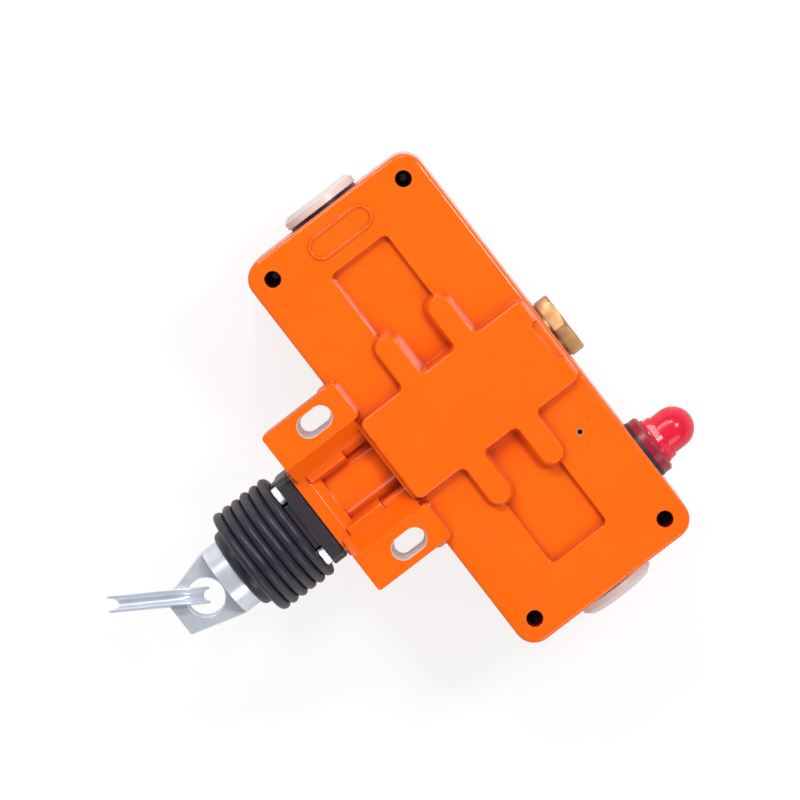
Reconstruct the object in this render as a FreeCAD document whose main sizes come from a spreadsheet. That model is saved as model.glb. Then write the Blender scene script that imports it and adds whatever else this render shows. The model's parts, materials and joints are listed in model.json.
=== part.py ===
# Rope pull switch with a die-cast housing, lying on its front with the mounting face up.
# Origin: centre of the mounting face. +Z points out of that face, +X along the rope's axis
# away from the eye, +Y towards the entry beside the embossed rim. Millimetres.
import FreeCAD, Part
import math
import os
import re

import Sketcher
from FreeCAD import Placement, Rotation, Vector

# Driving sizes, each written once
sizes = {
    # clearances and overshoots that several pieces share
    "cutOver": 1,
    "screwGap": 0.05,
    "shaftGap": 0.06,
    "ringGap": 0.1,
    "boreGap": 0.25,
    "clearGap": 0.2,
    "headGap": 0.4,
    "headEdge": 0.4,
    "pressGap": 0.02,
    # housing casting
    "bodyWidth": 80,
    "bodyLength": 180,
    "bodyCorner": 8,
    "bodyWall": 4,
    "bodyFlare": 0.6,
    "splitDrop": 22,
    "seatRise": 0.1,
    "seatMargin": 0.6,
    "backWall": 7,
    "backEdge": 1.5,
    "padRise": 4,
    "padLength": 76,
    "padWidth": 36.6,
    "padDraft": 16,
    "padCorner": 2.6,
    "rootRound": 2.6,
    "padEdge": 0.7,
    "fingerWidth": 8.8,
    "fingerRound": 4.3,
    "fingerReach": 38.6,
    "fingerPitch": 25,
    "notchDepth": 1.2,
    "notchLength": 4.6,
    "notchWidth": 17.4,
    "notchCorner": 2,
    "recessWidth": 26.4,
    "recessLength": 137.6,
    "recessDepth": 3,
    "recessCorner": 2.2,
    "recessDraft": 14,
    "rimPlace": 79.5,
    "rimLength": 28,
    "rimWidth": 10,
    "rimBand": 1.1,
    "rimRise": 0.5,
    "cornerHole": 6.4,
    "cornerHoleDepth": 30,
    "cornerPitchX": 62,
    "cornerPitchY": 162,
    "postRadius": 6.5,
    "axisDepth": 30,
    # mounting ears and neck
    "earReach": 30.9,
    "earLap": 3.4,
    "earOuter": 36.6,
    "earInner": 20.8,
    "earThick": 15,
    "earCorner": 1.5,
    "earWeb": 7,
    "slotPlace": 11.1,
    "slotPitch": 58.2,
    "slotLength": 14.5,
    "slotWidth": 9,
    "slotDraft": 3,
    "neckHalf": 21,
    "neckRise": 1,
    "neckChamfer": 6,
    "neckBore": 15,
    "neckTube": 18.6,
    "neckRim": 20.5,
    "neckRimCorner": 6,
    "neckRimWidth": 5,
    "neckRimProud": 1.5,
    "neckRimSlope": 4,
    "neckRimDraft": 28,
    "slopeFoot": 10.95,
    "slopeDrop": 12.5,
    "valleyDrop": 16.5,
    "ribNear": 10.6,
    "ribFar": 27,
    "ribDrop": 8.5,
    "ribBase": 15,
    "ribOuter": 15.2,
    "ribInner": 11.1,
    "ribFoot": 8.5,
    "ribEdge": 0.8,
    # cover
    "coverDepth": 12,
    "coverWall": 3.5,
    "coverEdge": 2.5,
    "coverRim": 6.5,
    "sealWidth": 2.4,
    "sealDepth": 1.6,
    "sealInset": 2.2,
    "coverScrewRadius": 2.5,
    "coverHeadRadius": 4.25,
    "coverHeadDepth": 5,
    "coverHeadSink": 0.5,
    "coverScrewReach": 12,
    "screwPoint": 1,
    "coverKey": 2.3,
    "coverKeyDepth": 3,
    # blanking plugs in the cable entries
    "entryRadius": 12.4,
    "entryShank": 10,
    "plugHeadRadius": 15.8,
    "plugHeadHeight": 4.4,
    "plugSealRadius": 15,
    "plugSealHeight": 1.4,
    "plugWall": 2.4,
    "plugPlay": 0.15,
    "plugFloor": 1.2,
    "plugSide": 2.6,
    "plugBevel": 2.2,
    "plugSlotReach": 11,
    "plugSlotHalf": 1.1,
    "plugSlotDepth": 1.4,
    # hexagon plug on the rope's axis
    "axisPlugRadius": 10,
    "axisPlugFlats": 24,
    "axisPlugHeight": 5.8,
    "axisWasherHeight": 1,
    "tailSleeve": 23,
    "sleeveWall": 2.5,
    "tailRelief": 1,
    "axisPlugThread": 3,
    "axisPlugBevel": 1.1,
    "axisPlugBevelIn": 1.9,
    # signal lamp
    "lampPlace": 58,
    "lampBore": 10.1,
    "lampGasketRadius": 12.3,
    "lampGasketHeight": 1.5,
    "lampFlangeRadius": 12.1,
    "lampFlangeHeight": 4.1,
    "lampShank": 17,
    "lampWall": 2.1,
    "lampEdge": 1,
    "lampTail": 4,
    "ledRadius": 3.2,
    "ledHeight": 8.2,
    "ledDome": 3.2,
    "lampBezelBase": 9.7,
    "lampBezelTop": 9,
    "lampBezelFlats": 17.8,
    "lampBezelHeight": 3.8,
    "lampLensRadius": 8.35,
    "lampLensHeight": 17.1,
    "lampLensWall": 1.2,
    "lampNutHeight": 5,
    "lampNutFlats": 27,
    # bellows and flange
    "gasketHeight": 1,
    "flangeSide": 38.8,
    "flangeFoot": 5.6,
    "flangeHeight": 7.7,
    "flangeStep": 0.75,
    "flangeCorner": 3,
    "flangeNotch": 4.6,
    "flangeNotchCorner": 2.5,
    "gasketInset": 0.5,
    "flangeHub": 14.9,
    "flangeHubDepth": 4.4,
    "spigotRadius": 14.2,
    "spigotReach": 6.9,
    "bushRadius": 10,
    "bushLength": 18,
    "bushSink": 1,
    "screwPitch": 28.8,
    "screwRadius": 2,
    "screwFlats": 7,
    "screwHead": 2.8,
    "screwBevel": 0.7,
    "screwReach": 17,
    "screwSink": 2.5,
    "bellowsWall": 1.5,
    "bellowsRootWall": 0.6,
    "bellowsStart": 0.4,
    "bellowsFolds": 6,
    "bellowsPitch": 4.25,
    "bellowsCrest": 23,
    "bellowsRoot": 17.6,
    "cuffRadius": 16.8,
    "cuffLength": 4.2,
    "cuffGap": 0.15,
    "cuffEdge": 0.6,
    "cuffLip": 0.8,
    "footHeel": 1.2,
    "footShort": 1.6,
    # shaft and what it carries
    "shaftRadius": 7,
    "shaftBevel": 1,
    "tailRadius": 5,
    "shoulderPlace": -18,
    "tailGap": 2.6,
    "seatThick": 3,
    "seatRadius": 14.2,
    "seatBevel": 3,
    "seatRim": 2,
    "frontSeatThick": 2,
    "frontSeatGap": 0.3,
    "camLength": 22,
    "camSmall": 7.4,
    "camSlope": 0.2,
    "collarRadius": 11.5,
    "collarWidth": 2.5,
    "nutFlats": 15,
    "nutHeight": 5,
    "springWire": 3,
    "springRadius": 11.6,
    "springTurns": 6,
    "springSides": 8,
    # rope eye and thimble
    "eyeBarRadius": 14.45,
    "eyeCover": 7.2,
    "eyeBarShow": 7,
    "eyeSocket": 6,
    "eyeSocketDepth": 10,
    "studGap": 1,
    "eyeLength": 22.3,
    "eyeTipWidth": 16.4,
    "eyeTipRound": 1.2,
    "eyeEdge": 0.35,
    "eyeThick": 8,
    "eyeHoleRadius": 7.5,
    "eyeHoleReach": 8.9,
    "thimbleSwing": 32,
    "thimbleRoll": 8,
    "thimbleWidth": 6.3,
    "thimbleSheet": 1,
    "thimbleFlange": 3.2,
    "thimbleBow": 7.6,
    "thimbleBowPlace": 9.6,
    "thimbleDrop": 2,
    "thimbleLength": 38,
    "thimblePoint": 1.6,
    "thimbleTaper": 9,
    # contact blocks
    "blockNear": 22,
    "blockLength": 38,
    "blockWidth": 32,
    "blockHeight": 22,
    "blockPlace": -11.5,
    "blockScrewRadius": 1.75,
    "blockScrewInset": 4.5,
    "blockPost": 4,
    "blockCorner": 2,
    "blockHead": 3,
    "blockHeadHeight": 2,
    "blockScrewReach": 7,
    "plungerRadius": 3,
    "plungerBore": 3.06,
    "plungerDepth": 22,
    "plungerStem": 16,
    "plungerGap": 0.3,
    "plungerNose": 2,
    "terminalRadius": 3,
    "terminalWell": 4,
    "terminalSink": 5,
    "terminalPitch": 9,
    "terminalNear": 6.5,
    "terminalFar": 20,
    "terminalGap": 0.3,
    "terminalHead": 2.2,
    "terminalSlot": 0.4,
    "terminalSlotDepth": 1,
    "plateThick": 1.2,
    # earth terminal
    "earthPlaceX": 25.6,
    "earthPlaceY": -35.2,
    "earthBoss": 5,
    "earthBossDepth": 10,
    "earthScrewRadius": 2,
    "earthScrewLength": 12,
    "earthCup": 1,
    "earthHead": 4,
    "earthHeadHeight": 3,
    "earthHeadBevel": 0.6,
    "earthSlot": 0.5,
    "earthSlotDepth": 1.4,
    "backDot": 0.95,
    # reset and latch
    "resetPlace": 13,
    "resetRing": 15,
    "resetRingRise": 2,
    "resetBushRadius": 8,
    "resetBushFlange": 9.6,
    "resetBushFlangeHeight": 2.5,
    "oringDepth": 2.2,
    "bushLip": 1.7,
    "resetShaftRadius": 4,
    "resetGap": 3.4,
    "lugHeight": 2,
    "lugRadius": 4.5,
    "knobRadius": 13,
    "knobHeight": 14,
    "knobGap": 1,
    "knobSocket": 8,
    "knobPlay": 0.5,
    "knobBevel": 0.8,
    "knobStep": 1,
    "knobCrown": 1.8,
    "gripWidth": 7,
    "gripHeight": 8,
    "clipThick": 1,
    "clipGap": 0.3,
    "clipGrip": 0.6,
    "clipWidth": 3,
    "clipMouth": 2.4,
    "grooveDepth": 0.65,
    "pivotPlace": 26.2,
    "pivotDrop": 16,
    "pivotRadius": 1.5,
    "pivotEye": 3.1,
    "pawlHalf": 3,
    "pawlNose": 9.3,
    "pawlTip": 2.5,
    "pawlRamp": 4,
    "pawlChin": 2,
    "pawlGap": 0.7,
    "pawlStep": 1.6,
    "pawlThick": 3.4,
    "postThick": 3,
    "postWidth": 6,
    "postGap": 0.3,
    # tension window
    "windowPlace": -14,
    "windowLength": 22,
    "windowWidth": 13,
    "windowLedge": 1.5,
    "windowThick": 2,
    "windowCorner": 2,
}

doc = FreeCAD.newDocument("RopePullSwitch")
sheet = doc.addObject("Spreadsheet::Sheet", "dims")
for row, (word, value) in enumerate(sizes.items(), 1):
    sheet.set(f"A{row}", word)
    sheet.set(f"B{row}", str(value))
    sheet.setAlias(f"B{row}", word)
doc.recompute()

# How far an edge may lie from the place that picks it
hair = 0.01

pieces = []


def cells(text):
    """A formula in size names, with each name pointing at its cell of the sheet."""
    return re.sub(r"[A-Za-z]\w*", lambda hit: f"dims.{hit[0]}" if hit[0] in sizes else hit[0], text)


def number(text):
    """What a formula in size names comes to now."""
    return float(sheet.evalExpression(text))


def bind(thing, prop, text):
    thing.setExpression(prop, cells(text))


def keep(thing, label):
    thing.Label = label
    pieces.append(thing)
    return thing


def put(thing, x="0", y="0", z="0", turn=None):
    """Place an object by formulas, after a fixed turn where it has one."""
    if turn:
        thing.Placement = Placement(Vector(), turn)
    bind(thing, "Placement.Base.x", x)
    bind(thing, "Placement.Base.y", y)
    bind(thing, "Placement.Base.z", z)
    return thing


# Sketches
def newBody(name):
    return doc.addObject("PartDesign::Body", name)


def newSketch(body, plane, lift="0"):
    sketch = body.newObject("Sketcher::SketchObject", "Sketch")
    origin = [part for part in body.Origin.OriginFeatures if part.Role == plane][0]
    sketch.AttachmentSupport = [(origin, "")]
    sketch.MapMode = "FlatFace"
    bind(sketch, "AttachmentOffset.Base.z", lift)
    return sketch


def fix(sketch, edge, end, x=None, y=None):
    """Hold one point of the sketch at formulas for its distances from the origin."""
    for kind, text, axis in (("DistanceX", x, -2), ("DistanceY", y, -1)):
        if text is None:
            continue
        if text == "0":
            sketch.addConstraint(Sketcher.Constraint("PointOnObject", edge, end, axis))
        else:
            index = sketch.addConstraint(Sketcher.Constraint(kind, -1, 1, edge, end, number(text)))
            bind(sketch, f"Constraints[{index}]", text)


def radius(sketch, edge, text):
    index = sketch.addConstraint(Sketcher.Constraint("Radius", edge, number(text)))
    bind(sketch, f"Constraints[{index}]", text)


def polygon(sketch, points):
    """A closed outline through points given as pairs of formulas."""
    first = sketch.GeometryCount
    spots = [Vector(number(x), number(y), 0) for x, y in points]
    for here, there in zip(spots, spots[1:] + spots[:1]):
        sketch.addGeometry(Part.LineSegment(here, there), False)
    for index, (x, y) in enumerate(points):
        after = first + (index + 1) % len(points)
        sketch.addConstraint(Sketcher.Constraint("Coincident", first + index, 2, after, 1))
        fix(sketch, first + index, 1, x, y)
    return sketch


def circle(sketch, x, y, size):
    ring = Part.Circle(Vector(number(x), number(y), 0), Vector(0, 0, 1), number(size))
    edge = sketch.addGeometry(ring, False)
    fix(sketch, edge, 3, x, y)
    radius(sketch, edge, size)
    return sketch


def roundBox(sketch, left, right, low, high, corner):
    """A rectangle between four formulas, with round corners."""
    x0, x1, y0, y1, r = (number(text) for text in (left, right, low, high, corner))
    centres = ((x1 - r, y0 + r), (x1 - r, y1 - r), (x0 + r, y1 - r), (x0 + r, y0 + r))
    ends = ((x1 - r, y0), (x1, y1 - r), (x0 + r, y1), (x0, y0 + r))
    starts = ((x0 + r, y0), (x1, y0 + r), (x1 - r, y1), (x0, y1 - r))
    first = sketch.GeometryCount
    for side in range(4):
        sketch.addGeometry(Part.LineSegment(Vector(*starts[side], 0), Vector(*ends[side], 0)), False)
        ring = Part.Circle(Vector(*centres[side], 0), Vector(0, 0, 1), r)
        begin = (side - 1) * math.pi / 2
        sketch.addGeometry(Part.ArcOfCircle(ring, begin, begin + math.pi / 2), False)
    for edge in range(8):
        after = first + (edge + 1) % 8
        sketch.addConstraint(Sketcher.Constraint("Tangent", first + edge, 2, after, 1))
    for edge, kind in ((0, "Horizontal"), (2, "Vertical"), (4, "Horizontal"), (6, "Vertical")):
        sketch.addConstraint(Sketcher.Constraint(kind, first + edge))
    for edge in (3, 5, 7):
        sketch.addConstraint(Sketcher.Constraint("Equal", first + 1, first + edge))
    radius(sketch, first + 1, corner)
    fix(sketch, first, 1, None, low)
    fix(sketch, first + 2, 1, right, None)
    fix(sketch, first + 4, 1, None, high)
    fix(sketch, first + 6, 1, left, None)
    return sketch


def steppedOutline(sketch, corners):
    """An outline of level and upright sides in turn, each corner given as x, y and its radius.

    The first side runs level from the first corner.
    """
    count = len(corners)
    spots = [Vector(number(x), number(y), 0) for x, y, _ in corners]
    rounds = [number(size) for _, _, size in corners]
    starts, ends = [], []
    for index, spot in enumerate(spots):
        before = (spots[index - 1] - spot).normalize()
        after = (spots[(index + 1) % count] - spot).normalize()
        starts.append(spot + after * rounds[index])
        ends.append(spot + before * rounds[index])
    for index, spot in enumerate(spots):
        inwards = (starts[index] - spot) + (ends[index] - spot)
        middle = spot + inwards * (1 - math.sqrt(0.5))
        nextOne = (index + 1) % count
        sketch.addGeometry(Part.Arc(ends[index], middle, starts[index]), False)
        sketch.addGeometry(Part.LineSegment(starts[index], ends[nextOne]), False)
    for index, (x, y, size) in enumerate(corners):
        arc, line = 2 * index, 2 * index + 1
        nextArc = (arc + 2) % (2 * count)
        leftTurn = arcStartsFirst(sketch, arc, ends[index])
        sketch.addConstraint(Sketcher.Constraint("Tangent", arc, 2 if leftTurn else 1, line, 1))
        leftTurn = arcStartsFirst(sketch, nextArc, ends[(index + 1) % count])
        sketch.addConstraint(Sketcher.Constraint("Tangent", line, 2, nextArc, 1 if leftTurn else 2))
        radius(sketch, arc, size)
        level = index % 2 == 0
        sketch.addConstraint(Sketcher.Constraint("Horizontal" if level else "Vertical", line))
        fix(sketch, line, 1, None if level else x, y if level else None)
    return sketch


def arcStartsFirst(sketch, edge, spot):
    """Whether an arc's own first point lies at the given spot."""
    return sketch.getPoint(edge, 1).distanceToPoint(spot) < 0.001


def stadium(sketch, x, y, length, width):
    """A slot outline centred on formulas, lying along the sketch's X."""
    cx, cy, r = number(x), number(y), number(width) / 2
    half = number(length) / 2 - r
    up = Vector(0, 0, 1)
    right, left = Vector(cx + half, cy, 0), Vector(cx - half, cy, 0)
    drop = Vector(0, r, 0)
    first = sketch.GeometryCount
    quarter = math.pi / 2
    sketch.addGeometry(Part.LineSegment(left - drop, right - drop), False)
    sketch.addGeometry(Part.ArcOfCircle(Part.Circle(right, up, r), -quarter, quarter), False)
    sketch.addGeometry(Part.LineSegment(right + drop, left + drop), False)
    sketch.addGeometry(Part.ArcOfCircle(Part.Circle(left, up, r), quarter, 3 * quarter), False)
    for edge in range(4):
        after = first + (edge + 1) % 4
        sketch.addConstraint(Sketcher.Constraint("Tangent", first + edge, 2, after, 1))
    sketch.addConstraint(Sketcher.Constraint("Horizontal", first))
    radius(sketch, first + 1, f"({width}) / 2")
    reach = f"(({length}) - ({width})) / 2"
    fix(sketch, first + 1, 3, f"{x} + {reach}", y)
    fix(sketch, first + 3, 3, f"{x} - {reach}", None)
    return sketch


# Features
def pad(body, sketch, length, back=False, taper=None):
    feature = body.newObject("PartDesign::Pad", "Pad")
    feature.Profile = sketch
    feature.Reversed = back
    bind(feature, "Length", length)
    if taper:
        bind(feature, "TaperAngle", taper)
    return feature


def pocket(body, sketch, length, back=False, taper=None):
    feature = body.newObject("PartDesign::Pocket", "Pocket")
    feature.Profile = sketch
    feature.Reversed = back
    bind(feature, "Length", length)
    if taper:
        bind(feature, "TaperAngle", taper)
    return feature


def soften(body, kind, size, test):
    """Fillet or chamfer the edges of the newest feature that a test on their middle picks out."""
    doc.recompute()
    base = body.Tip
    names = []
    for index, edge in enumerate(base.Shape.Edges, 1):
        box = edge.BoundBox
        if test(edge, box):
            names.append(f"Edge{index}")
    feature = body.newObject(f"PartDesign::{kind}", kind)
    feature.Base = (base, names)
    bind(feature, "Radius" if kind == "Fillet" else "Size", size)
    return feature


def turned(name, points, x="0", y="0", z="0", towards="X"):
    """A turned body: a half section of (along, out) formulas about its own axis, then placed."""
    body = newBody(name)
    sketch = polygon(newSketch(body, "XZ_Plane"), points)
    feature = body.newObject("PartDesign::Revolution", "Revolution")
    feature.Profile = sketch
    feature.ReferenceAxis = (sketch, ["H_Axis"])
    feature.Angle = 360
    way = {"X": Vector(1, 0, 0), "-X": Vector(-1, 0, 0), "Y": Vector(0, 1, 0)}
    way.update({"-Y": Vector(0, -1, 0), "Z": Vector(0, 0, 1), "-Z": Vector(0, 0, -1)})
    put(body, x, y, z, Rotation(Vector(1, 0, 0), way[towards]))
    return body


def tube(name, inner, outer, start, end, **place):
    """A plain ring between two radii and two places along its axis."""
    return turned(name, ((start, inner), (end, inner), (end, outer), (start, outer)), **place)


def solid(name, profile, **place):
    """A turned body that is full to its axis: places along it, each with a radius."""
    closed = ((profile[0][0], "0"),) + tuple(profile) + ((profile[-1][0], "0"),)
    return turned(name, closed, **place)


def sixCorners(reach, turn):
    """The corners of a hexagon at a reach from its centre, the first one turned by some degrees."""
    angles = [60 * step + turn for step in range(6)]
    return [(f"{reach} * cos({angle})", f"{reach} * sin({angle})") for angle in angles]


def hexagonCut(body, flats, reach, start, length):
    """Mill six flats on a turned body, from a start place along its own axis."""
    sketch = newSketch(body, "YZ_Plane", start)
    polygon(sketch, sixCorners(f"({flats}) / 2 / cos(30)", 30))
    circle(sketch, "0", "0", reach)
    return pocket(body, sketch, length, back=True)


def slotCut(body, reach, half, start, length):
    """Mill a straight slot across the end of a turned body, from a start place along its axis."""
    sketch = newSketch(body, "YZ_Plane", start)
    left, low = f"-({reach})", f"-({half})"
    polygon(sketch, ((left, low), (reach, low), (reach, half), (left, half)))
    return pocket(body, sketch, length, back=True)


def group(name, members):
    thing = doc.addObject("Part::Compound", name)
    thing.Links = members
    return thing


# Places that several pieces share, as formulas
seatX = "(bodyWidth / 2 + seatRise)"
seatY = "(bodyLength / 2 + seatRise)"
splitZ = "(axisDepth + splitDrop)"
castDepth = f"({splitZ} - padRise)"
frontZ = f"({splitZ} + coverDepth)"
neckEnd = "(bodyWidth / 2 + earReach + neckRimProud)"
bootStart = f"({neckEnd} + gasketHeight + flangeHeight + bellowsStart)"
bootEnd = f"({bootStart} + bellowsFolds * bellowsPitch + cuffLength)"
eyeStart = f"(-{bootEnd} + eyeCover)"
eyeFlat = f"(-{bootEnd} - eyeBarShow)"
eyeHole = f"({eyeFlat} - eyeHoleReach)"
eyeTip = f"({eyeFlat} - eyeLength)"
tailEnd = f"({seatX} - tailGap)"
pivotDepth = "(axisDepth + pivotDrop)"
pawlTop = "(axisDepth + collarRadius + pawlGap)"
pawlBack = f"({pawlTop} + pawlStep)"
pawlUnder = f"({pawlBack} + pawlThick)"
resetTop = f"({pawlUnder} + resetGap)"


def isRibEdge(box, place):
    """Whether an edge is the long inner top edge of the rib at this place across the neck."""
    level = abs(box.ZMin + number("ribDrop")) + box.ZMax - box.ZMin
    return level + abs(box.YMin - place) + box.YMax - box.YMin < hair and box.XMax - box.XMin > 1


def makeHousing():
    """Die-cast housing: open box, mounting plateau with four fingers, slotted ears, tubular neck."""
    body = newBody("housing_casting")
    edges = ("-bodyWidth / 2", "bodyWidth / 2", "-bodyLength / 2", "bodyLength / 2", "bodyCorner")
    sketch = roundBox(newSketch(body, "XY_Plane", "-padRise"), *edges)
    pad(body, sketch, castDepth, back=True, taper=f"atan(bodyFlare / {castDepth})")
    top = -sizes["padRise"]
    soften(body, "Fillet", "backEdge", lambda e, b: abs(b.ZMin - top) < hair and abs(b.ZMax - top) < hair)

    sketch = newSketch(body, "XY_Plane", "-padRise")
    half = ("-recessWidth / 2", "recessWidth / 2", "-recessLength / 2", "recessLength / 2", "recessCorner")
    roundBox(sketch, *half)
    pocket(body, sketch, "recessDepth", taper="-recessDraft")

    # Mounting plateau: a band across the back with four fingers, in one outline with drafted sides
    end, band = "padLength / 2", "padWidth / 2"
    near, far = "(fingerPitch - fingerWidth) / 2", "(fingerPitch + fingerWidth) / 2"
    quarter = (
        (end, band, "padCorner"),
        (far, band, "rootRound"),
        (far, "fingerReach", "fingerRound"),
        (near, "fingerReach", "fingerRound"),
        (near, band, "rootRound"),
    )
    outline = list(quarter)
    outline += [(f"-({x})", y, r) for x, y, r in reversed(quarter)]
    outline += [(f"-({x})", f"-({y})", r) for x, y, r in quarter]
    outline += [(x, f"-({y})", r) for x, y, r in reversed(quarter)]
    steppedOutline(newSketch(body, "XY_Plane"), outline)
    pad(body, body.Group[-1], "padRise + recessDepth", back=True, taper="padDraft")
    soften(body, "Fillet", "padEdge", lambda e, b: b.ZMin > -hair)
    sketch = newSketch(body, "XY_Plane")
    reach = "bodyWidth / 2 - notchLength"
    beyond = "bodyWidth / 2 + notchLength"
    roundBox(sketch, reach, beyond, "-notchWidth / 2", "notchWidth / 2", "notchCorner")
    pocket(body, sketch, "notchDepth", taper="-recessDraft")

    # Neck and ears share one section, seen along the rope's axis
    side = [
        ("earOuter", "0"),
        ("earInner", "0"),
        ("slopeFoot", "-slopeDrop"),
        ("slopeFoot", "-valleyDrop"),
    ]
    right = [
        ("earOuter", "-earThick"),
        ("neckHalf", "-earThick - earWeb"),
        ("neckHalf", f"-{splitZ} + neckRise + neckChamfer"),
        ("neckHalf - neckChamfer", f"-{splitZ} + neckRise"),
    ]
    section = [(f"-({y})", z) for y, z in reversed(right)] + [(f"-({y})", z) for y, z in side]
    section += [(y, z) for y, z in reversed(side)] + right
    start = "-bodyWidth / 2 - earReach"
    sketch = polygon(newSketch(body, "YZ_Plane", start), section)
    pad(body, sketch, "earReach + cutOver")
    outer = number("earOuter")
    tip = number(start)
    soften(
        body,
        "Fillet",
        "earCorner",
        lambda e, b: b.XMax < tip + hair and abs(b.YMin) > outer - hair and abs(b.YMax) > outer - hair,
    )

    # The tube's crown shows between the ears; its rim slopes down to it behind the flange's seat
    sketch = circle(newSketch(body, "YZ_Plane", f"-{neckEnd} + cutOver"), "0", "-axisDepth", "neckTube")
    pad(body, sketch, f"{neckEnd} - bodyWidth / 2")
    rim = ("-neckRim", "neckRim", "-axisDepth - neckRim", "-axisDepth + neckRim", "neckRimCorner")
    sketch = roundBox(newSketch(body, "YZ_Plane", f"-{neckEnd}"), *rim)
    pad(body, sketch, "neckRimWidth")
    sketch = roundBox(newSketch(body, "YZ_Plane", f"-{neckEnd} + neckRimWidth"), *rim)
    pad(body, sketch, "neckRimSlope", taper="-neckRimDraft")
    for sign in ("", "-"):
        sketch = newSketch(body, "YZ_Plane", "-bodyWidth / 2 - ribFar")
        rib = (
            ("ribFoot", "-ribBase"),
            ("ribInner", "-ribDrop"),
            ("ribOuter", "-ribDrop"),
            ("ribOuter", "-ribBase"),
        )
        polygon(sketch, [(f"{sign}({y})", z) for y, z in rib])
        pad(body, sketch, "ribFar - ribNear")
        soften(body, "Fillet", "ribEdge", lambda e, b: isRibEdge(b, number(f"{sign}ribInner")))
        sketch = newSketch(body, "XY_Plane")
        low, high = sorted((f"{sign}(earInner)", f"{sign}(earOuter)"), key=number)
        roundBox(sketch, "-bodyWidth / 2 - earLap", "-bodyWidth / 2 + earLap", low, high, "earCorner")
        pad(body, sketch, "padRise + cutOver / 2", back=True, taper="padDraft")

    # Bare embossed rim beside one entry
    sketch = newSketch(body, "XY_Plane", "-padRise")
    stadium(sketch, "0", "rimPlace", "rimLength", "rimWidth")
    stadium(sketch, "0", "rimPlace", "rimLength - 2 * rimBand", "rimWidth - 2 * rimBand")
    pad(body, sketch, "rimRise")

    # Hollow from the cover side, with posts for the cover screws and bosses for what sits inside
    sketch = newSketch(body, "XY_Plane", f"-{splitZ}")
    inside = ("-bodyWidth / 2 + bodyWall", "bodyWidth / 2 - bodyWall")
    inside += ("-bodyLength / 2 + bodyWall", "bodyLength / 2 - bodyWall", "bodyCorner - bodyWall")
    roundBox(sketch, *inside)
    pocket(body, sketch, f"{castDepth} - backWall", back=True)
    sketch = newSketch(body, "XY_Plane", f"-{splitZ}")
    for x in ("-cornerPitchX / 2", "cornerPitchX / 2"):
        for y in ("-cornerPitchY / 2", "cornerPitchY / 2"):
            circle(sketch, x, y, "postRadius")
    pad(body, sketch, f"{castDepth} - backWall + cutOver")
    sketch = newSketch(body, "XY_Plane", "-axisDepth + blockHeight / 2")
    for x in ("-blockWidth / 2 + blockScrewInset", "blockWidth / 2 - blockScrewInset"):
        for y in ("blockNear + blockLength - blockScrewInset", "-blockNear - blockLength + blockScrewInset"):
            circle(sketch, f"blockPlace + {x}", y, "blockPost")
    pad(body, sketch, "axisDepth - blockHeight / 2 - padRise - backWall + cutOver")
    sketch = newSketch(body, "XY_Plane", "-padRise - backWall - earthBossDepth")
    circle(sketch, "earthPlaceX", "earthPlaceY", "earthBoss")
    pad(body, sketch, "earthBossDepth + cutOver")

    # Bores
    sketch = circle(newSketch(body, "YZ_Plane", f"-{neckEnd}"), "0", "-axisDepth", "neckBore")
    pocket(body, sketch, f"{neckEnd} - bodyWidth / 2 + bodyWall + cutOver", back=True)
    sketch = newSketch(body, "YZ_Plane", f"-{neckEnd}")
    for y in ("-screwPitch / 2", "screwPitch / 2"):
        for z in ("-screwPitch / 2", "screwPitch / 2"):
            circle(sketch, y, f"-axisDepth + {z}", "screwRadius")
    pocket(body, sketch, "screwReach", back=True)
    sketch = newSketch(body, "YZ_Plane", "bodyWidth / 2 - bodyWall - cutOver")
    circle(sketch, "0", "-axisDepth", "axisPlugRadius")
    circle(sketch, "-lampPlace", "-axisDepth", "lampBore")
    pocket(body, sketch, "bodyWall + 3 * cutOver", back=True)
    sketch = circle(newSketch(body, "XZ_Plane", "-bodyLength / 2 - 3 * cutOver"), "0", "-axisDepth", "entryRadius")
    pocket(body, sketch, "bodyLength + 6 * cutOver", back=True)

    # Flat seats, machined across the drafted sides
    sketch = newSketch(body, "YZ_Plane", seatX)
    circle(sketch, "0", "-axisDepth", "axisPlugFlats / 2 / cos(30) + seatMargin")
    circle(sketch, "-lampPlace", "-axisDepth", "lampGasketRadius + seatMargin")
    pocket(body, sketch, "bodyFlare + cutOver", back=True)
    for sign in ("", "-"):
        sketch = newSketch(body, "XZ_Plane", f"-({sign}{seatY})")
        circle(sketch, "0", "-axisDepth", "plugHeadRadius + seatMargin")
        pocket(body, sketch, "bodyFlare + cutOver", back=bool(sign))

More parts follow.
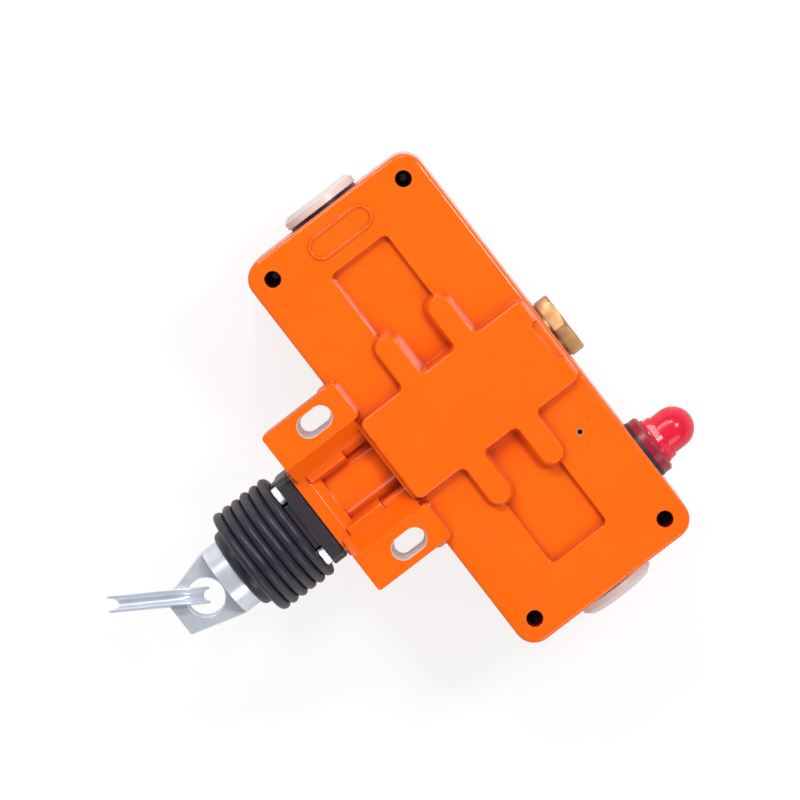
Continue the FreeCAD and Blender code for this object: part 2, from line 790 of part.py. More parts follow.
    sketch = newSketch(body, "XY_Plane", "-padRise")
    for x in ("-cornerPitchX / 2", "cornerPitchX / 2"):
        for y in ("-cornerPitchY / 2", "cornerPitchY / 2"):
            circle(sketch, x, y, "cornerHole / 2")
    pocket(body, sketch, "cornerHoleDepth")
    sketch = newSketch(body, "XY_Plane", "-padRise - cornerHoleDepth + cutOver")
    for x in ("-cornerPitchX / 2", "cornerPitchX / 2"):
        for y in ("-cornerPitchY / 2", "cornerPitchY / 2"):
            circle(sketch, x, y, "coverScrewRadius + screwGap")
    pocket(body, sketch, castDepth)
    sketch = newSketch(body, "XY_Plane", "-axisDepth + blockHeight / 2")
    for x in ("-blockWidth / 2 + blockScrewInset", "blockWidth / 2 - blockScrewInset"):
        for y in ("blockNear + blockLength - blockScrewInset", "-blockNear - blockLength + blockScrewInset"):
            circle(sketch, f"blockPlace + {x}", y, "blockScrewRadius + screwGap")
    pocket(body, sketch, "axisDepth - blockHeight / 2 - padRise - backWall + cutOver", back=True)
    sketch = newSketch(body, "XY_Plane", "-padRise - backWall - earthBossDepth")
    circle(sketch, "earthPlaceX", "earthPlaceY", "earthScrewRadius + screwGap")
    pocket(body, sketch, "earthBossDepth + cutOver", back=True)
    sketch = circle(newSketch(body, "XY_Plane", "-padRise"), "earthPlaceX", "earthPlaceY", "backDot")
    pocket(body, sketch, "backWall")

    # Slots in the ears, wider at the mounting face
    sketch = newSketch(body, "XY_Plane")
    for sign in ("", "-"):
        stadium(sketch, "-bodyWidth / 2 - slotPlace", f"{sign}slotPitch / 2", "slotLength", "slotWidth")
    pocket(body, sketch, "earThick + earWeb + cutOver", taper="-slotDraft")
    return keep(body, "housing_body")


def makeCover():
    """Die-cast front cover: shallow shell with counterbored corners, knob ring and window."""
    body = newBody("cover_casting")
    wide = "(bodyWidth / 2 + bodyFlare)"
    tall = "(bodyLength / 2 + bodyFlare)"
    sketch = newSketch(body, "XY_Plane", f"-{splitZ}")
    roundBox(sketch, f"-{wide}", wide, f"-{tall}", tall, "bodyCorner + bodyFlare")
    pad(body, sketch, "coverDepth", back=True)
    front = -number(frontZ)
    soften(body, "Fillet", "coverEdge", lambda e, b: b.ZMax < front + hair)
    sketch = newSketch(body, "XY_Plane", f"-{splitZ}")
    inner = (f"-{wide} + coverRim", f"{wide} - coverRim", f"-{tall} + coverRim", f"{tall} - coverRim")
    roundBox(sketch, *inner, "bodyCorner - bodyWall")
    pocket(body, sketch, "coverDepth - coverWall")
    corners = [
        (x, y)
        for x in ("-cornerPitchX / 2", "cornerPitchX / 2")
        for y in ("-cornerPitchY / 2", "cornerPitchY / 2")
    ]
    sketch = newSketch(body, "XY_Plane", f"-{splitZ}")
    for x, y in corners:
        circle(sketch, x, y, "postRadius")
    pad(body, sketch, "coverDepth - cutOver", back=True)
    sketch = newSketch(body, "XY_Plane", f"-{frontZ}")
    circle(sketch, "resetPlace", "0", "resetRing")
    pad(body, sketch, "resetRingRise", back=True)
    for sign in ("", "-"):
        near = f"{sign}(pawlHalf + postGap)"
        far = f"{sign}(pawlHalf + postGap + postThick)"
        low, high = sorted((near, far), key=number)
        left, right = "pivotPlace - postWidth / 2", "pivotPlace + postWidth / 2"
        sketch = newSketch(body, "XY_Plane", f"-{frontZ} + coverWall - cutOver / 2")
        polygon(sketch, ((left, low), (right, low), (right, high), (left, high)))
        pad(body, sketch, f"{frontZ} - coverWall + cutOver / 2 - {pivotDepth} + pivotEye")

    # Groove for the seal
    sketch = newSketch(body, "XY_Plane", f"-{splitZ}")
    for inset in ("sealInset", "(sealInset + sealWidth)"):
        edges = (f"-{wide} + {inset}", f"{wide} - {inset}", f"-{tall} + {inset}", f"{tall} - {inset}")
        roundBox(sketch, *edges, f"bodyCorner + bodyFlare - {inset}")
    pocket(body, sketch, "sealDepth")

    sketch = newSketch(body, "XY_Plane", f"-{splitZ}")
    for x, y in corners:
        circle(sketch, x, y, "coverScrewRadius + boreGap")
    pocket(body, sketch, "coverDepth + cutOver")
    sketch = newSketch(body, "XY_Plane", f"-{frontZ} - cutOver")
    for x, y in corners:
        circle(sketch, x, y, "coverHeadRadius + headGap")
    pocket(body, sketch, "coverHeadSink + coverHeadDepth + cutOver", back=True)
    sketch = newSketch(body, "XY_Plane", f"-{splitZ}")
    circle(sketch, "resetPlace", "0", "resetBushRadius + screwGap")
    pocket(body, sketch, "coverDepth + resetRingRise + cutOver")
    sketch = newSketch(body, "XY_Plane", f"-{frontZ} - cutOver")
    half = ("windowPlace - windowWidth / 2", "windowPlace + windowWidth / 2")
    roundBox(sketch, *half, "-windowLength / 2", "windowLength / 2", "windowCorner")
    pocket(body, sketch, "windowThick + cutOver", back=True)
    sketch = newSketch(body, "XY_Plane", f"-{frontZ} - cutOver")
    half = ("windowPlace - windowWidth / 2 + windowLedge", "windowPlace + windowWidth / 2 - windowLedge")
    reach = "windowLength / 2 - windowLedge"
    roundBox(sketch, *half, f"-({reach})", reach, "windowCorner / 2")
    pocket(body, sketch, "coverDepth + cutOver", back=True)
    doc.recompute()
    sketch = newSketch(body, "XZ_Plane", "-pawlHalf - postGap - postThick - cutOver")
    circle(sketch, "pivotPlace", f"-{pivotDepth}", "pivotRadius + shaftGap")
    pocket(body, sketch, "2 * (pawlHalf + postGap + postThick + cutOver)", back=True)
    keep(body, "front_cover")

    ring = newBody("seal_ring")
    sketch = newSketch(ring, "XY_Plane", f"-{splitZ} - sealDepth")
    for inset in ("(sealInset + screwGap)", "(sealInset + sealWidth - screwGap)"):
        edges = (f"-{wide} + {inset}", f"{wide} - {inset}", f"-{tall} + {inset}", f"{tall} - {inset}")
        roundBox(sketch, *edges, f"bodyCorner + bodyFlare - {inset}")
    pad(ring, sketch, "sealDepth")
    keep(ring, "cover_seal")

    pane = newBody("window_pane")
    sketch = newSketch(pane, "XY_Plane", f"-{frontZ}")
    half = ("windowPlace - windowWidth / 2 + screwGap", "windowPlace + windowWidth / 2 - screwGap")
    reach = "windowLength / 2 - screwGap"
    roundBox(sketch, *half, f"-({reach})", reach, "windowCorner - screwGap")
    pad(pane, sketch, "windowThick - screwGap")
    keep(pane, "tension_window")

    screws = []
    for index, (x, y) in enumerate(corners, 1):
        profile = (
            ("0", "coverHeadRadius - headEdge"),
            ("headEdge", "coverHeadRadius"),
            ("coverHeadDepth", "coverHeadRadius"),
            ("coverHeadDepth", "coverScrewRadius"),
            ("coverHeadDepth + coverScrewReach - screwPoint", "coverScrewRadius"),
            ("coverHeadDepth + coverScrewReach", "coverScrewRadius - screwPoint"),
        )
        screw = solid(f"cover_screw_{index}", profile, x=x, y=y, z=f"-{frontZ} + coverHeadSink", towards="Z")
        sketch = newSketch(screw, "YZ_Plane")
        polygon(sketch, sixCorners("coverKey", 0))
        pocket(screw, sketch, "coverKeyDepth", back=True)
        screws.append(screw)
    keep(group("cover_screw_set", screws), "cover_screws")


def makeEntryPlugs():
    """Blanking plug and sealing ring in each cable entry."""
    for name, sign, towards in (("top", "", "Y"), ("bottom", "-", "-Y")):
        face = f"{sign}{seatY}"
        inner, outer = "entryRadius - plugWall", "entryRadius - plugPlay"
        start, seat = "-entryShank", "plugSealHeight"
        crown = "plugSealHeight + plugHeadHeight"
        section = (
            (f"{seat} + plugFloor", "0"),
            (f"{seat} + plugFloor", inner),
            (start, inner),
            (start, outer),
            (seat, outer),
            (seat, "plugHeadRadius"),
            (f"{seat} + plugSide", "plugHeadRadius"),
            (crown, "plugHeadRadius - plugBevel"),
            (crown, "0"),
        )
        plug = turned(f"plug_{name}", section, y=face, z="-axisDepth", towards=towards)
        low, depth = f"{crown} - plugSlotDepth", "plugSlotDepth + cutOver"
        slotCut(plug, "plugSlotReach", "plugSlotHalf", low, depth)
        keep(plug, f"cable_plug_{name}")
        ring = tube(
            f"entry_ring_{name}",
            "entryRadius + ringGap",
            "plugSealRadius",
            "0",
            seat,
            y=face,
            z="-axisDepth",
            towards=towards,
        )
        keep(ring, f"plug_seal_{name}")


def makeAxisPlug():
    """Brass hexagon plug that closes the far side and guides the shaft's tail in its sleeve."""
    face = seatX
    seat = "axisWasherHeight"
    top = "axisWasherHeight + axisPlugHeight"
    corner = "axisPlugFlats / 2 / cos(30)"
    section = (
        (f"{seat} + tailRelief", "0"),
        (f"{seat} + tailRelief", "tailRadius + shaftGap"),
        ("-tailSleeve", "tailRadius + shaftGap"),
        ("-tailSleeve", "tailRadius + sleeveWall"),
        ("-bodyWall - axisPlugThread", "tailRadius + sleeveWall"),
        ("-bodyWall - axisPlugThread", "axisPlugRadius - screwGap"),
        (seat, "axisPlugRadius - screwGap"),
        (seat, corner),
        (f"{top} - axisPlugBevel", corner),
        (top, f"{corner} - axisPlugBevelIn"),
        (top, "0"),
    )
    plug = turned("hex_plug", section, x=face, z="-axisDepth")
    hexagonCut(plug, "axisPlugFlats", f"{corner} + cutOver", seat, "axisPlugHeight + cutOver")
    keep(plug, "axis_plug")
    inner, outer = "axisPlugRadius + ringGap", "axisPlugFlats / 2 - 2 * ringGap"
    washer = tube("plug_ring", inner, outer, "0", seat, x=face, z="-axisDepth")
    keep(washer, "axis_plug_washer")


def makeLamp():
    """Signal lamp: gasket, flange base, faceted bezel, hollow dome lens, inner nut and light insert."""
    face = seatX
    place = {"x": face, "y": "-lampPlace", "z": "-axisDepth"}
    base = "lampGasketHeight"
    top = "lampGasketHeight + lampFlangeHeight"
    gasket = tube("lamp_ring", "lampBore + ringGap", "lampGasketRadius", "0", base, **place)
    keep(gasket, "lamp_gasket")
    section = (
        ("-lampShank", "lampBore - lampWall"),
        (top, "lampBore - lampWall"),
        (top, "lampFlangeRadius - lampEdge"),
        (f"{top} - lampEdge", "lampFlangeRadius"),
        (base, "lampFlangeRadius"),
        (base, "lampBore - ringGap"),
        ("-lampShank", "lampBore - ringGap"),
    )
    keep(turned("lamp_socket", section, **place), "lamp_base")
    high = f"{top} + lampBezelHeight"
    section = (
        (top, "lampLensRadius + ringGap"),
        (high, "lampLensRadius + ringGap"),
        (high, "lampBezelTop"),
        (f"{top} + lampEdge", "lampBezelBase"),
        (top, "lampBezelBase"),
    )
    bezel = turned("lamp_ring_nut", section, **place)
    hexagonCut(bezel, "lampBezelFlats", "lampBezelBase + cutOver", f"{top} + lampEdge", "lampBezelHeight")
    keep(bezel, "lamp_bezel")

    # The lens is a tube with a dome, turned from two arcs
    body = newBody("lamp_dome")
    sketch = newSketch(body, "XZ_Plane")
    straight = f"{top} + lampLensHeight - lampLensRadius"
    level = number(straight)
    out, inn = number("lampLensRadius"), number("lampLensRadius - lampLensWall")
    low = number(top)
    centre = Vector(level, 0, 0)
    up = Vector(0, 0, 1)
    sketch.addGeometry(Part.LineSegment(Vector(low, inn, 0), Vector(low, out, 0)), False)
    sketch.addGeometry(Part.LineSegment(Vector(low, out, 0), Vector(level, out, 0)), False)
    sketch.addGeometry(Part.ArcOfCircle(Part.Circle(centre, up, out), 0, math.pi / 2), False)
    sketch.addGeometry(Part.LineSegment(Vector(level + out, 0, 0), Vector(level + inn, 0, 0)), False)
    sketch.addGeometry(Part.ArcOfCircle(Part.Circle(centre, up, inn), 0, math.pi / 2), False)
    sketch.addGeometry(Part.LineSegment(Vector(level, inn, 0), Vector(low, inn, 0)), False)
    joins = ((0, 2, 1, 1), (1, 2, 2, 2), (2, 1, 3, 1), (3, 2, 4, 1), (4, 2, 5, 1), (5, 2, 0, 1))
    for edge, end, other, start in joins:
        sketch.addConstraint(Sketcher.Constraint("Coincident", edge, end, other, start))
    fix(sketch, 0, 1, top, "lampLensRadius - lampLensWall")
    fix(sketch, 0, 2, top, "lampLensRadius")
    fix(sketch, 1, 2, straight, "lampLensRadius")
    fix(sketch, 4, 2, straight, "lampLensRadius - lampLensWall")
    fix(sketch, 2, 3, straight, "0")
    fix(sketch, 4, 3, straight, "0")
    fix(sketch, 2, 1, None, "0")
    fix(sketch, 4, 1, None, "0")
    feature = body.newObject("PartDesign::Revolution", "Revolution")
    feature.Profile = sketch
    feature.ReferenceAxis = (sketch, ["H_Axis"])
    feature.Angle = 360
    put(body, **place)
    keep(body, "lamp_lens")

    inner = "-bodyWall - seatRise"
    corner = "lampNutFlats / 2 / cos(30)"
    nut = tube("lamp_lock", "lampBore", corner, f"{inner} - lampNutHeight", inner, **place)
    under = f"{inner} - lampNutHeight - cutOver"
    hexagonCut(nut, "lampNutFlats", "lampNutFlats", under, "lampNutHeight + 2 * cutOver")
    keep(nut, "lamp_nut")
    profile = (
        ("-lampShank - lampTail", "lampBore - lampWall - boreGap"),
        (f"{top} - lampEdge / 2", "lampBore - lampWall - boreGap"),
        (top, "lampLensRadius - lampLensWall - boreGap"),
        (f"{top} + lampEdge / 2", "ledRadius"),
        (f"{top} + ledHeight - ledDome", "ledRadius"),
        (f"{top} + ledHeight - ledDome / 4", "ledRadius * 0.7"),
        (f"{top} + ledHeight", "ledRadius / 4"),
    )
    keep(solid("lamp_light", profile, **place), "lamp_led")


def makeFlange():
    """Square flange that clamps the bellows to the neck, its gasket, bush and hexagon screws."""
    face = f"-{neckEnd}"
    gasket = newBody("flange_packing")
    sketch = newSketch(gasket, "YZ_Plane", f"{face} - gasketHeight")
    half = ("-flangeSide / 2 + gasketInset", "flangeSide / 2 - gasketInset")
    roundBox(sketch, *half, *half, "flangeCorner")
    circle(sketch, "0", "0", "neckBore")
    spots = [
        (y, z) for y in ("-screwPitch / 2", "screwPitch / 2") for z in ("-screwPitch / 2", "screwPitch / 2")
    ]
    for y, z in spots:
        circle(sketch, y, z, "screwRadius + boreGap")
    pad(gasket, sketch, "gasketHeight")
    put(gasket, z="-axisDepth")
    keep(gasket, "flange_gasket")

    body = newBody("flange_block")
    seat = f"{face} - gasketHeight"
    outside = f"{seat} - flangeHeight"
    sketch = newSketch(body, "YZ_Plane", f"{seat} - flangeFoot")
    half = ("-flangeSide / 2", "flangeSide / 2")
    roundBox(sketch, *half, *half, "flangeCorner")
    pad(body, sketch, "flangeFoot")
    sketch = newSketch(body, "YZ_Plane", outside)
    half = ("-flangeSide / 2 + flangeStep", "flangeSide / 2 - flangeStep")
    roundBox(sketch, *half, *half, "flangeCorner")
    pad(body, sketch, "flangeHeight - flangeFoot")
    sketch = circle(newSketch(body, "YZ_Plane", f"{outside} - spigotReach"), "0", "0", "spigotRadius")
    pad(body, sketch, "spigotReach + cutOver")
    sketch = circle(newSketch(body, "YZ_Plane", f"{seat} - cutOver"), "0", "0", "flangeHub")
    pad(body, sketch, "gasketHeight + flangeHubDepth + cutOver")
    sketch = circle(newSketch(body, "YZ_Plane", f"{outside} - spigotReach - cutOver"), "0", "0", "bushRadius")
    through = "spigotReach + flangeHeight + gasketHeight + flangeHubDepth + 2 * cutOver"
    pocket(body, sketch, through, back=True)
    sketch = newSketch(body, "YZ_Plane", f"{outside} - cutOver")
    for y, z in spots:
        circle(sketch, y, z, "screwRadius + boreGap")
    pocket(body, sketch, "flangeHeight + 2 * cutOver", back=True)

    # A notch at each corner takes the screw's head
    for up in ("", "-"):
        for out in ("", "-"):
            inner, outer = "screwPitch / 2 - flangeNotch", "flangeSide / 2 + 2 * cutOver"
            low, high = sorted((f"{up}({inner})", f"{up}({outer})"), key=number)
            left, right = sorted((f"{out}({inner})", f"{out}({outer})"), key=number)
            sketch = newSketch(body, "YZ_Plane", f"{outside} - cutOver")
            roundBox(sketch, left, right, low, high, "flangeNotchCorner")
            pocket(body, sketch, "screwSink + cutOver", back=True)
    put(body, z="-axisDepth")
    keep(body, "bellows_flange")

    bush = tube(
        "bush_ring",
        "shaftRadius + shaftGap",
        "bushRadius - pressGap",
        "0",
        "bushLength",
        x=f"{outside} - spigotReach + bushSink",
        z="-axisDepth",
    )
    keep(bush, "guide_bushing")

    screws = []
    for index, (y, z) in enumerate(spots, 1):
        corner = "screwFlats / 2 / cos(30)"
        profile = (
            ("0", f"{corner} - screwBevel"),
            ("headEdge", corner),
            ("screwHead", corner),
            ("screwHead", "screwRadius - screwGap"),
            ("screwHead + screwReach", "screwRadius - screwGap"),
        )
        place = {"x": f"{outside} + screwSink - screwHead", "y": y, "z": f"-axisDepth + {z}"}
        screw = solid(f"flange_screw_{index}", profile, **place)
        hexagonCut(screw, "screwFlats", "screwFlats", "-cutOver", "screwHead + cutOver")
        screws.append(screw)
    keep(group("flange_screw_set", screws), "flange_screws")


def makeBellows():
    """Rubber boot: a folded wall between a foot on the flange's spigot and a domed cuff on the bar."""
    start = -number(bootStart)
    wall, pitch = number("bellowsWall"), number("bellowsPitch")
    crest, root = number("bellowsCrest"), number("bellowsRoot")
    cuff, cuffLength = number("cuffRadius"), number("cuffLength")
    bar, foot = number("eyeBarRadius + cuffGap"), number("spigotRadius + ringGap")
    folds = int(number("bellowsFolds"))
    end = start - folds * pitch

    # Each fold rises from a narrow root to a round crest; the inside follows it a wall's width lower.
    # Places are shares of the pitch from a fold's middle, heights shares of its rise.
    outside, inside = [], []
    lobe = ((0.47, 0), (0.42, 0.66), (0.27, 0.93), (0.1, 1))
    lobe += tuple((-step, height) for step, height in reversed(lobe))
    hollow = ((0.3, 0), (0, 0.8), (-0.3, 0))
    base = root - number("bellowsRootWall")
    for fold in range(folds):
        middle = start - (fold + 0.5) * pitch
        for step, height in lobe:
            outside.append((middle + step * pitch, root + height * (crest - root)))
        for step, height in hollow:
            inside.append((middle + step * pitch, base + height * (crest - root)))
    edge = number("cuffEdge")
    nose = [(end, cuff - edge), (end - edge, cuff)]
    for step, height in ((0.5, 1), (0.8, 0.7)):
        nose.append((end - cuffLength * step, bar + (cuff - bar) * height))
    nose += [(end - cuffLength, bar + number("cuffLip")), (end - cuffLength, bar), (end, bar)]
    heel, grip = start - number("footHeel"), start - number("spigotReach - footShort")
    sole = [(heel, foot + wall), (grip, foot + wall), (grip, foot), (start, foot)]
    points = [Vector(x, out, 0) for x, out in outside + nose + inside[::-1] + sole]
    face = Part.Face(Part.makePolygon(points + points[:1]))
    thing = doc.addObject("Part::Feature", "boot")
    thing.Shape = face.revolve(Vector(0, 0, 0), Vector(1, 0, 0), 360)
    put(thing, z="-axisDepth")
    keep(thing, "bellows")


def makeShaft():
    """Pull shaft with the parts threaded on its tail, from the shoulder to the nut."""
    place = {"z": "-axisDepth"}
    stud = f"{eyeStart} - eyeSocketDepth + studGap"
    profile = (
        (stud, "eyeSocket - shaftBevel"),
        (f"{stud} + shaftBevel", "eyeSocket - screwGap"),
        (eyeStart, "eyeSocket - screwGap"),
        (eyeStart, "shaftRadius"),
        ("shoulderPlace", "shaftRadius"),
        ("shoulderPlace", "tailRadius"),
        (f"{tailEnd} - shaftBevel", "tailRadius"),
        (tailEnd, "tailRadius - shaftBevel"),
    )
    keep(solid("shaft_rod", profile, **place), "pull_shaft")
    camStart = "(shoulderPlace + seatThick)"
    bore = "tailRadius + screwGap"
    seat = (
        ("shoulderPlace", bore),
        (camStart, bore),
        (camStart, "seatRadius - seatBevel"),
        ("shoulderPlace + seatRim", "seatRadius"),
        ("shoulderPlace", "seatRadius"),
    )
    keep(turned("moving_seat", seat, **place), "spring_seat_rear")
    camEnd = f"({camStart} + camLength)"
    ramp = f"({camEnd} - collarWidth)"
    cam = (
        (camStart, bore),
        (camEnd, bore),
        (camEnd, "collarRadius"),
        (ramp, "collarRadius"),
        (ramp, f"camSmall + camSlope * ({ramp} - {camStart})"),
        (camStart, "camSmall"),
    )
    keep(turned("cam_spool", cam, **place), "cam_sleeve")
    nut = tube("tail_nut", bore, "nutFlats / 2 / cos(30)", camEnd, f"{camEnd} + nutHeight", **place)
    hexagonCut(nut, "nutFlats", "nutFlats", f"{camEnd} - cutOver", "nutHeight + 2 * cutOver")
    keep(nut, "shaft_nut")

    hub = f"(-{neckEnd} + flangeHubDepth)"
    inner, outer = "shaftRadius + headGap", "neckBore - frontSeatGap"
    front = tube("fixed_seat", inner, outer, hub, f"{hub} + frontSeatThick", **place)
    keep(front, "spring_seat_front")

    # Main spring between the two seats, with its end coils drawn as full turns of the helix
    wire = number("springWire") / 2
    begin = number(f"{hub} + frontSeatThick") + wire
    length = number("shoulderPlace") - wire - begin
    turns, coil = number("springTurns"), number("springRadius")
    helix = Part.makeHelix(length / turns, length, coil)
    start = Vector(coil, 0, 0)
    slope = Vector(0, coil, length / turns / (2 * math.pi)).normalize()
    out, over = Vector(1, 0, 0), slope.cross(Vector(1, 0, 0))
    sides = int(number("springSides"))
    angles = [2 * math.pi * step / sides for step in range(sides)]
    corners = [start + out * (wire * math.cos(a)) + over * (wire * math.sin(a)) for a in angles]
    ring = Part.makePolygon(corners + corners[:1])
    spring = Part.Wire(helix.Edges).makePipeShell([ring], True, True)
    thing = doc.addObject("Part::Feature", "coil_spring")
    thing.Shape = spring
    thing.Placement = Placement(Vector(begin, 0, 0), Rotation(Vector(0, 1, 0), 90))
    bind(thing, "Placement.Base.z", "-axisDepth")
    keep(thing, "main_spring")


def makeEye():
    """Round bar milled to a flat eye: the taper and flats are cut from the full bar."""
    body = newBody("eye_bar")
    sketch = circle(newSketch(body, "YZ_Plane", eyeTip), "0", "0", "eyeBarRadius")
    pad(body, sketch, f"{eyeStart} - {eyeTip}")
    below, across = "-eyeBarRadius - cutOver", "2 * (eyeBarRadius + cutOver)"
    for sign in ("", "-"):
        sketch = newSketch(body, "XZ_Plane", below)
        low, high = sorted((f"{sign}(eyeThick / 2)", f"{sign}(eyeBarRadius + cutOver)"), key=number)
        left, right = f"{eyeTip} - cutOver", eyeFlat
        polygon(sketch, ((left, low), (right, low), (right, high), (left, high)))
        pocket(body, sketch, across, back=True)
        sketch = newSketch(body, "XY_Plane", below)
        wide = f"{sign}(eyeBarRadius)"
        tip = f"{sign}(eyeTipWidth / 2)"
        far = f"{sign}(eyeBarRadius + cutOver)"
        taper = ((eyeFlat, wide), (eyeTip, tip), (left, tip), (left, far), (eyeFlat, far))
        polygon(sketch, taper)
        pocket(body, sketch, across, back=True)
    sketch = circle(newSketch(body, "XY_Plane", below), eyeHole, "0", "eyeHoleRadius")
    pocket(body, sketch, across, back=True)
    sketch = circle(newSketch(body, "YZ_Plane", f"{eyeStart} + cutOver"), "0", "0", "eyeSocket")
    pocket(body, sketch, "eyeSocketDepth + cutOver")
    edge, flat, half = number(eyeTip), number(eyeFlat), number("eyeThick / 2")
    soften(
        body,
        "Fillet",
        "eyeTipRound",
        lambda e, b: b.XMax < edge + hair and b.YMax - b.YMin < hair,
    )
    soften(
        body,
        "Chamfer",
        "eyeEdge",
        lambda e, b: b.XMax < flat - hair and b.ZMax - b.ZMin < hair and abs(abs(b.ZMin) - half) < hair,
    )
    put(body, z="-axisDepth")
    keep(body, "rope_eye")


def makeThimble():
    """U-section thimble: sheet bent round a bow, with two straight legs that close towards a point."""
    wide, sheetThick = number("thimbleWidth"), number("thimbleSheet")
    flange = number("thimbleFlange")
    bow, centre = number("thimbleBow"), number("thimbleBowPlace")
    length, point = number("thimbleLength"), number("thimblePoint")

    def legs(offset):
        """One side line of the teardrop: a bow of the given radius and its two tangent legs."""
        size = bow + offset
        reach = length - centre
        gap = point + offset
        span = math.hypot(reach, gap)
        lean = math.atan2(gap, reach) + math.acos(size / span)
        touch = Vector(centre + size * math.cos(lean), 0, size * math.sin(lean))
        return touch, Vector(length, 0, gap), size

    def flip(spot):
        return Vector(spot.x, 0, -spot.z)

    def band(inside, outside, thick):
        """The strip between two such lines, given a width across the loop."""
        low, lowEnd, lowSize = legs(inside)
        high, highEnd, highSize = legs(outside)
        edges = [
            Part.LineSegment(lowEnd, low),
            Part.Arc(low, Vector(centre - lowSize, 0, 0), flip(low)),
            Part.LineSegment(flip(low), flip(lowEnd)),
            Part.LineSegment(flip(lowEnd), flip(highEnd)),
            Part.LineSegment(flip(highEnd), flip(high)),
            Part.Arc(flip(high), Vector(centre - highSize, 0, 0), high),
            Part.LineSegment(high, highEnd),
            Part.LineSegment(highEnd, lowEnd),
        ]
        face = Part.Face(Part.Wire([edge.toShape() for edge in edges]))
        face.translate(Vector(0, -thick / 2, 0))
        return face.extrude(Vector(0, thick, 0))

    def wedge(side):
        """What the taper takes off one leg's flanges, so that they run out at the open end."""
        touch, end, _ = legs(flange)
        back = end + (touch - end).normalize() * number("thimbleTaper")
        over = Vector(flange, 0, flange)
        corners = [back, Vector(length, 0, point + sheetThick), end + over, back + over]
        spots = [Vector(spot.x, 0, side * spot.z) for spot in corners]
        face = Part.Face(Part.makePolygon(spots + spots[:1]))
        face.translate(Vector(0, -wide, 0))
        return face.extrude(Vector(0, 2 * wide, 0))

    channel = band(0, flange, wide).cut(band(sheetThick, flange + number("cutOver"), wide - 2 * sheetThick))
    channel = channel.cut(wedge(1)).cut(wedge(-1))
    thing = doc.addObject("Part::Feature", "thimble_channel")
    thing.Shape = channel
    swing = Rotation(Vector(0, 0, 1), 180 - number("thimbleSwing"))
    roll = Rotation(Vector(1, 0, 0), number("thimbleRoll"))
    thing.Placement = Placement(Vector(number(eyeHole), 0, 0), swing * roll)
    bind(thing, "Placement.Base.z", "-axisDepth - thimbleDrop")
    keep(thing, "rope_thimble")


def makeContacts():
    """Two contact blocks facing the cam from both sides, with plungers, plates and screws."""
    blockScrews, plates, clamps = [], [], []
    for name, sign, towards in (("upper", "", "Y"), ("lower", "-", "-Y")):
        body = newBody(f"block_{name}")
        near, far = f"{sign}(blockNear)", f"{sign}(blockNear + blockLength)"
        low, high = sorted((near, far), key=number)
        left, right = "blockPlace - blockWidth / 2", "blockPlace + blockWidth / 2"
        sketch = newSketch(body, "XY_Plane", "-axisDepth - blockHeight / 2")
        roundBox(sketch, left, right, low, high, "blockCorner")
        pad(body, sketch, "blockHeight")
        sketch = newSketch(body, "XZ_Plane", "0")
        circle(sketch, "blockPlace", "-axisDepth", "plungerBore")
        pocket(body, sketch, "blockNear + plungerDepth", back=bool(sign))
        spots = [
            (f"blockPlace + {x}", f"{sign}(blockNear + blockLength - blockScrewInset)")
            for x in ("-blockWidth / 2 + blockScrewInset", "blockWidth / 2 - blockScrewInset")
        ]
        sketch = newSketch(body, "XY_Plane", "-axisDepth - blockHeight / 2 - cutOver")
        for x, y in spots:
            circle(sketch, x, y, "blockScrewRadius + clearGap")
        pocket(body, sketch, "blockHeight + 2 * cutOver", back=True)
        wells = [
            (f"blockPlace + {x}", f"{sign}(blockNear + {y})")
            for x in ("-terminalPitch", "0", "terminalPitch")
            for y in ("terminalNear", "terminalFar")
        ]
        sketch = newSketch(body, "XY_Plane", "-axisDepth - blockHeight / 2 - cutOver")
        for x, y in wells:
            circle(sketch, x, y, "terminalWell")
        pocket(body, sketch, "terminalSink + cutOver", back=True)
        keep(body, f"contact_block_{name}")

        tip = f"{sign}(camSmall + camSlope * (blockPlace - shoulderPlace - seatThick) + plungerGap)"
        nose = (
            ("0", "plungerRadius * 0.3"),
            ("plungerNose * 0.35", "plungerRadius * 0.7"),
            ("plungerNose", "plungerRadius"),
            ("blockNear - camSmall + plungerStem", "plungerRadius"),
        )
        pin = solid(f"plunger_pin_{name}", nose, x="blockPlace", y=tip, z="-axisDepth", towards=towards)
        keep(pin, f"plunger_{name}")

        for index, (x, y) in enumerate(spots, 1):
            profile = (
                ("0", "blockHead"),
                ("blockHeadHeight", "blockHead"),
                ("blockHeadHeight", "blockScrewRadius"),
                ("blockHeight + blockScrewReach", "blockScrewRadius"),
            )
            top = "-axisDepth - blockHeight / 2 - blockHeadHeight"
            place = {"x": x, "y": y, "z": top, "towards": "Z"}
            blockScrews.append(solid(f"block_screw_{name}_{index}", profile, **place))
        for index, (x, y) in enumerate(wells, 1):
            floor = "-axisDepth - blockHeight / 2 + terminalSink"
            plates.append(
                solid(
                    f"plate_{name}_{index}",
                    (("0", "terminalWell - terminalGap"), ("plateThick", "terminalWell - terminalGap")),
                    x=x,
                    y=y,
                    z=f"{floor} - plateThick",
                    towards="Z",
                )
            )
            profile = (("0", "terminalRadius"), ("terminalHead", "terminalRadius"))
            place = {"x": x, "y": y, "z": f"{floor} - plateThick - terminalHead", "towards": "Z"}
            head = solid(f"clamp_{name}_{index}", profile, **place)
            reach, depth = "terminalRadius + cutOver", "terminalSlotDepth + cutOver"
            slotCut(head, reach, "terminalSlot", "-cutOver", depth)
            clamps.append(head)
    keep(group("block_screw_set", blockScrews), "block_screws")
    keep(group("plate_set", plates), "terminal_plates")
    keep(group("clamp_set", clamps), "terminal_screws")


